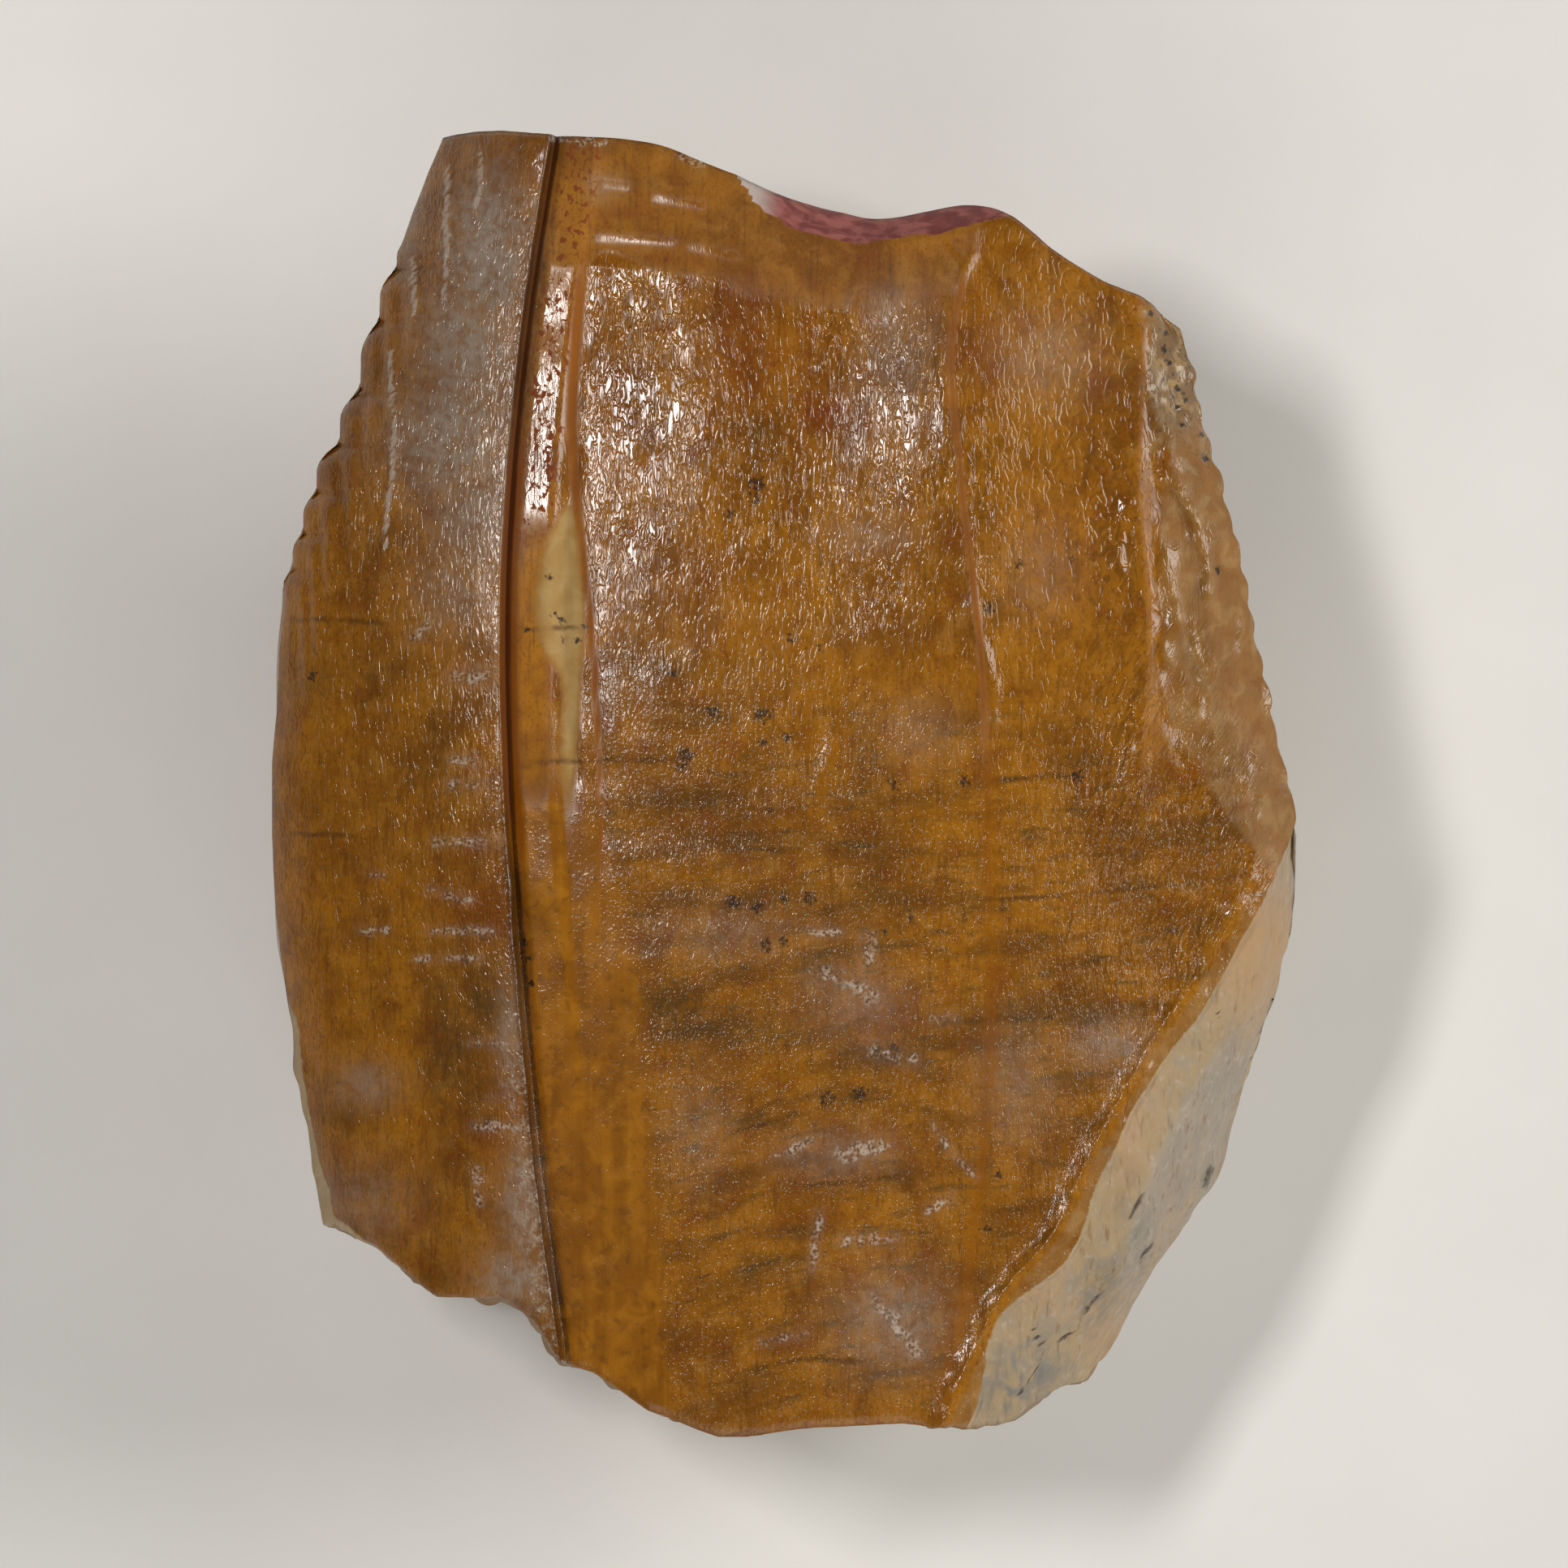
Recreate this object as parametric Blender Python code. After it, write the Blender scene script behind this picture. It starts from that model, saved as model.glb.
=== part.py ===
"""A fossil dinosaur tooth crown, lying on its back with its enamel face up.

Blender works in metres. The sizes below are in millimetres, in the tooth's own frame: +X across the
crown, +Y towards the worn tip, +Z up through the enamel face. The flat it rests on is at z = 0.
"""

import bpy
import numpy as np

MM = 0.001

HALF_WIDTH = 9.45
HALF_LENGTH = 12.0

# Height of the enamel face at its middle, and how far it curves down to each side
FACE_HEIGHT = 9.05
FALL_LEFT = 1.90
FALL_RIGHT = 1.15
FALL_POWER = 2.3
FALL_TIP = 0.95
FALL_BASE = 0.55
MARGIN_ROLL = 0.45
MARGIN_WIDTH = 0.90

# Primary ridge: the left panel climbs to a crest, then steps down to a crevice with a cord beside it
STEP_HEIGHT = 0.55
STEP_WIDTH = 0.20
CREVICE_OFFSET = 0.17
CREVICE_DEPTH = 0.20
CREVICE_WIDTH = 0.10
CORD_OFFSET = 0.50
CORD_HEIGHT = 0.16
CORD_WIDTH = 0.26
CORD_FADE = (-9.0, 3.0)

# Secondary ridges, the channel beside them and the rolled rim at the lower right
RIDGE_HEIGHT = 0.15
RIDGE_WIDTH = 0.15
RIDGE_FOOT = 0.28
RIDGE_TWO_FADE = (-3.0, 2.0)
RIDGE_TWO_FAINTEST = 0.25
RIDGE_THREE_FADE = (-3.0, 0.0)
CHANNEL_DEPTH = 0.16
CHANNEL_MIDDLE = 0.7
CHANNEL_BANK = 0.35
CHANNEL_ENDS = (-3.5, -1.0, 5.0, 7.5)
RIM_HEIGHT = 0.34
RIM_WIDTH = 0.34
RIM_FADE = (-0.5, -2.5)
RIM_FAINTEST = 0.2

# The dentine that shows past the enamel's foot at the lower right
ENAMEL_THICKNESS = 0.16
ENAMEL_STEP = 0.10
FLANK_DROP = 3.6
FLANK_WIDTH = 2.1
FLANK_ROUNDING = 0.98

# Denticles on the upper left, each a lobe that steps out and then runs straight; low beads on the right
DENTICLE_SHOULDER = 0.55
DENTICLE_RELIEF = 0.22
DENTICLE_REACH = 1.1
DENTICLE_END = 0.3
BEAD_PITCH = 0.66
BEAD_SIZE = 0.07
BEAD_FADE = (-1.0, 1.5)

# Chip in the cutting edge, and the cupped wear facet behind it
CHIP_SLOPE = 1.7
FACET_RUN = 7.0
FACET_CUP = 0.55

# Broken base: its edge at the back, and how rough the break is
BASE_BACK = -10.9
BASE_BACK_CURVE = 0.035
BASE_ROUGHNESS = 0.20
BASE_BLEND = 0.7

# Rounded sides and back, with the flat where the tooth rests
RELIEF_DEPTH = 0.35
SIDE_INSET = 4.3
SIDE_ROUNDING = 0.94
BACK_PATCH_CENTRE = (0.0, -2.6)
BACK_PATCH_HALF = (3.6, 6.4)
BACK_RISE = 2.1

# Outline of the face: (y, x) down each side, and (x, y) along the worn tip and the broken base
LEFT_SIDE = [(-9.6, -7.9), (-8.1, -8.45), (-6.3, -8.83), (-4.3, -9.13), (-1.9, -9.43), (-0.2, -9.45),
             (1.4, -9.38), (2.6, -9.31), (3.3, -9.23)]
NOTCHES = [(3.30, -9.23), (3.96, -9.06), (4.63, -8.86), (5.38, -8.62), (6.29, -8.19), (7.25, -7.82),
           (8.56, -7.46), (9.52, -7.13), (9.95, -7.04)]
LEFT_TIP = [(9.95, -7.04), (11.5, -6.47), (12.4, -6.10)]
RIGHT_SIDE = [(-13.0, 4.7), (-10.9, 5.77), (-9.5, 6.62), (-8.0, 7.59), (-7.3, 8.05), (-6.35, 8.30),
              (-5.0, 8.74), (-3.65, 9.13), (-2.75, 9.35), (-1.6, 9.44), (-0.2, 9.31), (1.3, 9.0),
              (2.9, 8.68), (4.7, 8.30), (6.3, 7.86), (7.3, 7.60), (7.85, 7.50), (8.4, 7.25), (9.6, 6.6)]
TIP_EDGE = [(-7.2, 11.6), (-6.3, 11.93), (-5.9, 12.0), (-4.3, 11.92), (-2.2, 11.7), (-1.3, 11.35),
            (0.4, 10.7), (1.5, 10.43), (4.2, 10.43), (4.9, 9.85), (5.8, 9.27), (6.7, 8.87), (7.3, 8.35),
            (8.0, 7.6)]
BASE_EDGE = [(-9.0, -7.9), (-8.0, -8.25), (-7.5, -8.5), (-6.4, -9.42), (-5.2, -9.43), (-4.6, -9.8),
             (-4.1, -10.6), (-3.5, -10.8), (-2.5, -11.5), (-1.2, -11.98), (-0.7, -11.99), (0.6, -11.8),
             (2.2, -11.73), (3.3, -11.87), (4.2, -11.69), (4.9, -11.15), (5.75, -10.94), (7.0, -10.7)]

# Lines on the face, as (y, x), and the arc where the chip bites into it, as (x, y)
CREST = [(-13.0, -3.8), (-10.6, -4.12), (-7.7, -4.50), (-3.5, -4.92), (0.2, -5.17), (4.3, -5.19),
         (8.1, -4.87), (12.0, -4.30)]
PALE_LINE = [(-13.0, -2.2), (-8.0, -3.2), (-2.0, -3.98), (2.5, -3.80), (7.0, -3.92), (12.0, -3.45)]
RIDGE_TWO = [(-13.0, 2.6), (-7.2, 3.62), (-1.0, 3.75), (2.2, 3.62), (5.7, 3.23), (8.2, 3.08), (9.8, 3.42),
             (12.0, 3.9)]
RIDGE_THREE = [(-13.0, 6.6), (-2.8, 6.64), (0.2, 6.59), (2.5, 6.71), (5.4, 6.53), (9.0, 6.49), (12.0, 5.4)]
RIM = [(-13.0, 2.45), (-10.5, 3.45), (-9.1, 4.20), (-8.4, 4.84), (-6.9, 5.59), (-4.6, 6.86), (-2.9, 7.98),
       (-1.4, 8.60), (0.9, 8.16), (4.0, 7.80), (5.3, 7.41), (6.1, 7.03), (9.0, 6.90)]
ENAMEL_FOOT = [(-13.0, 2.8), (-11.3, 3.57), (-9.6, 4.09), (-8.9, 4.99), (-7.2, 5.81), (-5.3, 6.78),
               (-4.0, 7.76), (-2.5, 8.58), (-1.0, 9.30), (0.0, 9.60), (2.0, 9.60), (9.0, 9.60)]
CHIP_ARC = [(-1.2, 13.0), (-0.9, 11.2), (-0.5, 10.6), (0.3, 10.1), (1.3, 9.87), (2.9, 10.1), (4.2, 10.45),
            (4.4, 13.0)]

# Least room between one line and the next where they crowd together at the lower right
FOOT_ROOM = 0.16
RIM_ROOM = 0.22
RIDGE_THREE_ROOM = 0.75
RIDGE_TWO_ROOM = 0.85

# The mesh: strips between neighbouring lines from left to right, rows up the face, bands down the wall
STRIPS = [3, 4, 1, 1, 1, 1, 5, 1, 1, 3, 1, 1, 2, 2, 4]
ROWS_BELOW_DENTICLES = 14
DENTICLE_ROWS = (0.92, 0.45)
ROWS_NEAR_TIP = (0.92, 0.945, 0.965, 0.978, 0.99, 1.0)
WALL_BANDS = 7
EVENING_AT_BACK = 0.6
FITTING_ROUNDS = 60

ENAMEL_COLOUR = (0.31, 0.135, 0.038, 1.0)
ENAMEL_ROUGHNESS = 0.38
SHARP_EDGE_DEGREES = 40.0


def curve(points, at):
    """The smooth line through points, read at each of the values."""
    knots = np.array(points)
    slopes = np.gradient(knots[:, 1], knots[:, 0])
    place = np.clip(np.searchsorted(knots[:, 0], at) - 1, 0, len(knots) - 2)
    start, end = knots[place], knots[place + 1]
    gap = end[..., 0] - start[..., 0]
    t = np.clip((at - start[..., 0]) / gap, 0.0, 1.0)
    level = (2 * t + 1) * (1 - t) ** 2 * start[..., 1] + (3 - 2 * t) * t**2 * end[..., 1]
    bend = t * (1 - t) ** 2 * slopes[place] - (1 - t) * t**2 * slopes[place + 1]
    return level + gap * bend


def broken_line(points, at):
    """The straight-sided line through points, read at each of the values."""
    places, heights = np.transpose(points)
    return np.interp(at, places, heights)


def ramp(value, start, end):
    """0 before start, 1 past end and smooth between them; start may be the larger."""
    t = np.clip((value - start) / (end - start), 0.0, 1.0)
    return t * t * (3.0 - 2.0 * t)


def swell(distance, width):
    """A rounded ridge's profile: 1 on its line and 0 a few widths away."""
    return np.exp(-((distance / width) ** 2))


def denticle_at(y):
    """For each height, the notches below and above it, and how far down its lobe it is, from 0 to 1."""
    notches = np.array(NOTCHES)
    place = np.clip(np.searchsorted(notches[:, 0], y) - 1, 0, len(notches) - 2)
    below, above = notches[place], notches[place + 1]
    down = np.clip((above[..., 0] - y) / (above[..., 0] - below[..., 0]), 0.0, 1.0)
    return below, above, down


def left_edge(y):
    """The face's left margin, with its denticles."""
    below, above, down = denticle_at(y)
    out = 1.0 - (1.0 - np.clip(down / DENTICLE_SHOULDER, 0.0, 1.0)) ** 2
    lobes = above[..., 1] + (below[..., 1] - above[..., 1]) * out
    lowest, highest = NOTCHES[0][0], NOTCHES[-1][0]
    plain = np.where(y <= lowest, curve(LEFT_SIDE, y), curve(LEFT_TIP, y))
    return np.where((y > lowest) & (y < highest), lobes, plain)


def left_side(y):
    """The left side behind the denticles."""
    return curve(LEFT_SIDE[:-1] + NOTCHES + LEFT_TIP[1:], y)


def right_side(y):
    """The right side behind the beads."""
    return curve(RIGHT_SIDE, y)


def right_edge(y):
    """The face's right margin, with its low beads."""
    beads = np.abs(np.sin(np.pi * y / BEAD_PITCH)) - 1.0
    return right_side(y) + BEAD_SIZE * beads * ramp(y, *BEAD_FADE)


def face_lines(y):
    """The lines that the mesh follows on the face at height y, from left to right."""
    right = right_edge(y)
    crest = curve(CREST, y)
    foot = np.minimum(curve(ENAMEL_FOOT, y), right - FOOT_ROOM)
    rim = np.minimum(curve(RIM, y), foot - RIM_ROOM)
    third = np.minimum(curve(RIDGE_THREE, y), rim - RIDGE_THREE_ROOM)
    second = np.minimum(curve(RIDGE_TWO, y), third - RIDGE_TWO_ROOM)
    return [
        left_edge(y),
        left_side(y) + DENTICLE_REACH,
        crest - STEP_WIDTH,
        crest,
        crest + CREVICE_OFFSET,
        crest + CORD_OFFSET,
        curve(PALE_LINE, y),
        second - RIDGE_FOOT,
        second,
        second + RIDGE_FOOT,
        third - RIDGE_FOOT,
        third,
        third + RIDGE_FOOT,
        rim,
        foot,
        right,
    ]


def primary_ridge(x, y):
    """The climb to the crest, the step down, the crevice, and the cord that runs beside it."""
    crest = curve(CREST, y)
    past = x - crest
    climb = ramp(x, left_side(y), crest) * (1.0 - ramp(past, 0.0, STEP_WIDTH))
    crevice = swell(past - CREVICE_OFFSET, CREVICE_WIDTH)
    cord = swell(past - CORD_OFFSET, CORD_WIDTH) * ramp(y, *CORD_FADE)
    return STEP_HEIGHT * climb - CREVICE_DEPTH * crevice + CORD_HEIGHT * cord


def secondary_ridges(x, y):
    """Two narrow ridges that fade out towards the base."""
    second_strength = RIDGE_TWO_FAINTEST + (1.0 - RIDGE_TWO_FAINTEST) * ramp(y, *RIDGE_TWO_FADE)
    second = swell(x - curve(RIDGE_TWO, y), RIDGE_WIDTH) * second_strength
    third = swell(x - curve(RIDGE_THREE, y), RIDGE_WIDTH) * ramp(y, *RIDGE_THREE_FADE)
    return RIDGE_HEIGHT * (second + third)


def channel_and_rim(x, y):
    """The channel right of the last ridge, and the rolled rim that closes it at the lower right."""
    rim = curve(RIM, y)
    ridge = curve(RIDGE_THREE, y)
    middle = ridge + np.maximum(rim - ridge, MARGIN_WIDTH / 4) * CHANNEL_MIDDLE
    inside = ramp(x, ridge, middle) * (1.0 - ramp(x, middle, middle + CHANNEL_BANK))
    low_end, low_full, high_full, high_end = CHANNEL_ENDS
    channel = inside * ramp(y, low_end, low_full) * (1.0 - ramp(y, high_full, high_end))
    rim_strength = RIM_FAINTEST + (1.0 - RIM_FAINTEST) * ramp(y, *RIM_FADE)
    return RIM_HEIGHT * swell(x - rim, RIM_WIDTH) * rim_strength - CHANNEL_DEPTH * channel


def flank(x, y):
    """How far the dentine past the enamel's foot drops away."""
    foot = curve(ENAMEL_FOOT, y)
    width = right_edge(y) - foot
    past_foot = np.clip((x - foot) / np.maximum(width, ENAMEL_STEP), 0.0, 1.0)
    drop = FLANK_DROP * np.clip(width / FLANK_WIDTH, 0.0, 1.0)
    rounded = 1.0 - np.sqrt(1.0 - FLANK_ROUNDING * past_foot**2)
    return ENAMEL_THICKNESS * ramp(x - foot, 0.0, ENAMEL_STEP) + drop * rounded


def margins(x, y):
    """The face rolling over at both sides, and the denticles' shingled relief."""
    near_left = 1.0 - np.clip((x - left_edge(y)) / DENTICLE_REACH, 0.0, 1.0)
    near_right = 1.0 - np.clip((right_edge(y) - x) / MARGIN_WIDTH, 0.0, 1.0)
    down = denticle_at(y)[2]
    highest = NOTCHES[-1][0]
    strength = ramp(y, NOTCHES[0][0], NOTCHES[2][0]) * (1.0 - ramp(y, highest, highest + DENTICLE_END))
    lobes = DENTICLE_RELIEF * (down - 0.5) * near_left * strength
    return lobes - MARGIN_ROLL * (near_left**2 + near_right**2)


def face_form(x, y):
    """Height of the face's broad curve, with its margins and the flank beside it."""
    fall_across = np.where(x < 0.0, FALL_LEFT, FALL_RIGHT) * np.abs(x / HALF_WIDTH) ** FALL_POWER
    fall_along = np.where(y > 0.0, FALL_TIP, FALL_BASE) * (y / HALF_LENGTH) ** 2
    return FACE_HEIGHT - fall_across - fall_along + margins(x, y) - flank(x, y)


def face_relief(x, y):
    """What stands above or below that curve: the ridges, the rim and the chip in the cutting edge."""
    chip = CHIP_SLOPE * np.maximum(y - broken_line(CHIP_ARC, x), 0.0)
    return primary_ridge(x, y) + secondary_ridges(x, y) + channel_and_rim(x, y) - chip


def back_height(x, y):
    """Height of the rounded back, which is flat at 0 where the tooth rests."""
    across = (x - BACK_PATCH_CENTRE[0]) / BACK_PATCH_HALF[0]
    along = (y - BACK_PATCH_CENTRE[1]) / BACK_PATCH_HALF[1]
    return BACK_RISE * np.maximum(np.hypot(across, along) - 1.0, 0.0) ** 1.5


def tip_edge(x, depth):
    """The cutting edge, and behind it the cupped wear facet."""
    return curve(TIP_EDGE, x) - FACET_RUN * depth - FACET_CUP * np.sin(np.pi * depth)


def base_edge(x, depth):
    """The broken base: ragged at the face, and behind it a rough break that slants under the crown."""
    ragged = broken_line(BASE_EDGE, x)
    behind = BASE_BACK + BASE_BACK_CURVE * x**2
    rough = np.sin(0.9 * x + 7.0 * depth) + 0.6 * np.sin(2.3 * x - 11.0 * depth) * np.sin(6.0 * depth)
    strength = BASE_ROUGHNESS * ramp(depth, 0.0, 0.2) * (1.0 - BASE_BLEND * ramp(depth, 0.5, 1.0))
    return ragged + (behind - ragged) * ramp(depth, 0.0, BASE_BLEND) + strength * rough


def columns_on_face(y):
    """The columns at the face: each gap between two lines holds its number of equal strips."""
    lines = face_lines(y)
    places = []
    for gap, strips in enumerate(STRIPS):
        for strip in range(strips):
            across = strip / strips
            column = len(places)
            places.append(lines[gap][column] * (1.0 - across) + lines[gap + 1][column] * across)
    places.append(lines[-1][-1])
    return np.array(places)


def columns(y, depth):
    """Where the columns are at their heights y, one for each; depth is 0 at the face and 1 at the back."""
    places = columns_on_face(y)
    share = (places - left_edge(y)) / (right_edge(y) - left_edge(y))
    share = share + (np.linspace(0.0, 1.0, len(y)) - share) * EVENING_AT_BACK * depth
    smooth = ramp(depth, 0.0, RELIEF_DEPTH)
    inset = SIDE_INSET * (1.0 - np.sqrt(1.0 - (SIDE_ROUNDING * depth) ** 2))
    left = left_edge(y) + (left_side(y) - left_edge(y)) * smooth + inset
    right = right_edge(y) + (right_side(y) - right_edge(y)) * smooth - inset
    return left + share * (right - left)


def column_ends(depth):
    """The lowest and highest y of each column, where it meets the broken base and the worn tip."""
    low = np.full(sum(STRIPS) + 1, -HALF_LENGTH)
    high = -low
    for _ in range(FITTING_ROUNDS):
        low = base_edge(columns(low, depth), depth)
        high = tip_edge(columns(high, depth), depth)
    return low, high


def row_shares():
    """Where the rows are along a column, from 0 at the base to 1 at the tip, with three to a denticle."""
    low, high = column_ends(0.0)
    heights = list(np.linspace(low[0], NOTCHES[0][0], ROWS_BELOW_DENTICLES, endpoint=False))
    for (below, _), (above, _) in zip(NOTCHES, NOTCHES[1:]):
        heights.append(below)
        heights += [above + (below - above) * down for down in DENTICLE_ROWS]
    heights.append(NOTCHES[-1][0])
    return [(y - low[0]) / (high[0] - low[0]) for y in heights] + list(ROWS_NEAR_TIP)


def layer(depth, shares):
    """One sheet of points at a depth, as rows of (x, y)."""
    low, high = column_ends(depth)
    rows = []
    for share in shares:
        y = low + (high - low) * share
        rows.append(np.stack([columns(y, depth), y], axis=-1))
    return np.array(rows)


def around(sheet):
    """What a sheet holds along its rim, once round."""
    return np.concatenate([sheet[0, :-1], sheet[:-1, -1], sheet[-1, :0:-1], sheet[:0:-1, 0]])


def tooth_points(shares):
    """The front sheet, the wall's rings and the back sheet, in millimetres."""
    front = layer(0.0, shares)
    back = layer(1.0, shares)
    form = face_form(front[..., 0], front[..., 1])
    relief = face_relief(front[..., 0], front[..., 1])
    underside = back_height(back[..., 0], back[..., 1])
    rings = []
    for band in range(1, WALL_BANDS):
        depth = band / WALL_BANDS
        fading = around(relief) * (1.0 - ramp(depth, 0.0, RELIEF_DEPTH))
        height = around(form) * (1.0 - depth) + around(underside) * depth + fading
        rings.append(np.column_stack([around(layer(depth, shares)), height]))
    front = np.dstack([front, form + relief])
    back = np.dstack([back, underside])
    return front, rings, back


def tooth_faces(rows, count):
    """Quads over the front sheet, down the wall and over the back sheet, by point number."""
    front = np.arange(rows * count).reshape(rows, count)
    rim_length = len(around(front))
    back = front + front.size + (WALL_BANDS - 1) * rim_length
    quads = []
    for row in range(rows - 1):
        for column in range(count - 1):
            (a, b), (d, c) = front[row:row + 2, column:column + 2]
            quads.append((a, b, c, d))
            (a, b), (d, c) = back[row:row + 2, column:column + 2]
            quads.append((a, d, c, b))
    rings = [around(front)]
    for band in range(WALL_BANDS - 1):
        rings.append(np.arange(rim_length) + front.size + band * rim_length)
    rings.append(around(back))
    for upper, lower in zip(rings, rings[1:]):
        for here in range(rim_length):
            after = (here + 1) % rim_length
            quads.append((upper[here], lower[here], lower[after], upper[after]))
    return np.array(quads).tolist()


def enamel_material():
    """Glossy amber-brown fossil enamel."""
    material = bpy.data.materials.new("fossil_enamel")
    material.use_nodes = True
    shader = material.node_tree.nodes["Principled BSDF"]
    shader.inputs["Base Color"].default_value = ENAMEL_COLOUR
    shader.inputs["Roughness"].default_value = ENAMEL_ROUGHNESS
    shader.inputs["Metallic"].default_value = 0.0
    return material


def make_tooth():
    """The whole crown as one closed body."""
    front, rings, back = tooth_points(row_shares())
    rows, count = front.shape[:2]
    points = np.concatenate([front.reshape(-1, 3), *rings, back.reshape(-1, 3)]) * MM
    mesh = bpy.data.meshes.new("tooth")
    mesh.from_pydata(points.tolist(), [], tooth_faces(rows, count))
    mesh.materials.append(enamel_material())
    mesh.shade_smooth()
    mesh.set_sharp_from_angle(angle=np.radians(SHARP_EDGE_DEGREES))
    tooth = bpy.data.objects.new("tooth", mesh)
    bpy.context.scene.collection.objects.link(tooth)


def main():
    for old in list(bpy.data.objects):
        bpy.data.objects.remove(old, do_unlink=True)
    make_tooth()


main()
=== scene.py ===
"""The looks of a fossil dinosaur tooth crown, lying on its back with its enamel face up.

Sizes are in millimetres in the tooth's own frame, as in its solid: +X across the crown, +Y towards the
worn tip, +Z up through the enamel face, and z = 0 at the flat it rests on. Blender gets them in metres.
"""

import itertools

import bpy
import numpy as np
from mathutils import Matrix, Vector


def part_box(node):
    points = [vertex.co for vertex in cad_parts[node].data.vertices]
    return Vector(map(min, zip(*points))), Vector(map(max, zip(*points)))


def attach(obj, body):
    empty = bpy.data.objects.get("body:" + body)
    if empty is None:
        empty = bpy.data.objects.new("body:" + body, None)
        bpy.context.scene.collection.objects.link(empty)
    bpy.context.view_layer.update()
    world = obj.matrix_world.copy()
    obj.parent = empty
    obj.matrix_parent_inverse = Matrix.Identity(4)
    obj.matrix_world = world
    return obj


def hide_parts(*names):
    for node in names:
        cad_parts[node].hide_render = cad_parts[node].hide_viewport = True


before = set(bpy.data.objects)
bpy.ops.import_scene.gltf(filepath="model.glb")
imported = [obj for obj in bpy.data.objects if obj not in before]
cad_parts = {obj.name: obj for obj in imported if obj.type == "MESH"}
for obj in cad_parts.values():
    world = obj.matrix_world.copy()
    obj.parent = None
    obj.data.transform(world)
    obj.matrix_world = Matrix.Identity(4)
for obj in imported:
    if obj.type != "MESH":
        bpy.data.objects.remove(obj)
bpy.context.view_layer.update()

MM = 0.001

# The crown's form, as in its solid but with a shallower crevice and channel, and a lower cord and rim
HALF_WIDTH = 9.45
HALF_LENGTH = 12.0
FACE_HEIGHT = 9.05
FALL_LEFT = 1.90
FALL_RIGHT = 1.15
FALL_POWER = 2.3
FALL_TIP = 0.95
FALL_BASE = 0.55
MARGIN_ROLL = 0.45
MARGIN_WIDTH = 0.90
STEP_HEIGHT = 0.55
STEP_WIDTH = 0.15
CREVICE_OFFSET = 0.13
CREVICE_DEPTH = 0.09
CREVICE_WIDTH = 0.07
CORD_OFFSET = 0.50
CORD_HEIGHT = 0.12
CORD_SPAN = (0.17, 0.34, 0.85, 1.10)
CORD_FADE = (-9.0, 3.0)
RIDGE_FOOT = 0.28
RIDGE_TWO_FADE = (-3.0, 2.0)
RIDGE_TWO_FAINTEST = 0.25
RIDGE_THREE_FADE = (-3.0, 0.0)
CHANNEL_DEPTH = 0.05
CHANNEL_MIDDLE = 0.7
CHANNEL_NARROWEST = 0.225
CHANNEL_BANK = 0.35
CHANNEL_ENDS = (-3.5, -1.0, 5.0, 7.5)
RIM_HEIGHT = 0.11
RIM_WIDTH = 0.26
RIM_FADE = (-0.5, -2.5)
RIM_FAINTEST = 0.2
RIM_CREST = (0.04, 0.08)
ENAMEL_THICKNESS = 0.16
ENAMEL_STEP = 0.10
FLANK_DROP = 3.6
FLANK_WIDTH = 2.1
FLANK_ROUNDING = 0.98
DENTICLE_SHOULDER = 0.55
DENTICLE_RELIEF = 0.22
DENTICLE_REACH = 1.1
DENTICLE_END = 0.3
BEAD_PITCH = 0.66
BEAD_SIZE = 0.07
BEAD_FADE = (-1.0, 1.5)
CHIP_SLOPE = 1.7
FACET_RUN = 7.0
FACET_CUP = 0.55
BASE_BACK = -10.9
BASE_BACK_CURVE = 0.035
BASE_BLEND = 0.7
RELIEF_DEPTH = 0.35
SIDE_INSET = 4.3
SIDE_ROUNDING = 0.94
BACK_PATCH_CENTRE = (0.0, -2.6)
BACK_PATCH_HALF = (3.6, 6.4)
BACK_RISE = 2.1
BACK_POWER = 1.5

# The break's unevenness: a wave and a smaller ripple over x and depth, full past a depth and calmer behind
BASE_ROUGHNESS = 0.20
BREAK_FULL = 0.2
BREAK_CALM = (0.5, 1.0, 1.0, 0.3)
BREAK_WAVE = (0.9, 7.0)
BREAK_RIPPLE = (0.6, 2.3, -11.0, 6.0)

# Outline of the face: (y, x) down each side, and (x, y) along the worn tip and the broken base
LEFT_SIDE = [(-9.6, -7.9), (-8.1, -8.45), (-6.3, -8.83), (-4.3, -9.13), (-1.9, -9.43), (-0.2, -9.45),
             (1.4, -9.38), (2.6, -9.31), (3.3, -9.23)]
NOTCHES = [(3.30, -9.23), (3.96, -9.06), (4.63, -8.86), (5.38, -8.62), (6.29, -8.19), (7.25, -7.82),
           (8.56, -7.46), (9.52, -7.13), (9.95, -7.04)]
LEFT_TIP = [(9.95, -7.04), (11.5, -6.47), (12.4, -6.10)]
RIGHT_SIDE = [(-13.0, 4.7), (-10.9, 5.77), (-9.5, 6.62), (-8.0, 7.59), (-7.3, 8.05), (-6.35, 8.30),
              (-5.0, 8.74), (-3.65, 9.13), (-2.75, 9.35), (-1.6, 9.44), (-0.2, 9.31), (1.3, 9.0),
              (2.9, 8.68), (4.7, 8.30), (6.3, 7.86), (7.3, 7.60), (7.85, 7.50), (8.4, 7.25), (9.6, 6.6)]
TIP_EDGE = [(-7.2, 11.6), (-6.3, 11.93), (-5.9, 12.0), (-4.3, 11.92), (-2.2, 11.7), (-1.3, 11.35),
            (0.4, 10.7), (1.5, 10.43), (4.2, 10.43), (4.9, 9.85), (5.8, 9.27), (6.7, 8.87), (7.3, 8.35),
            (8.0, 7.6)]
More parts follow.
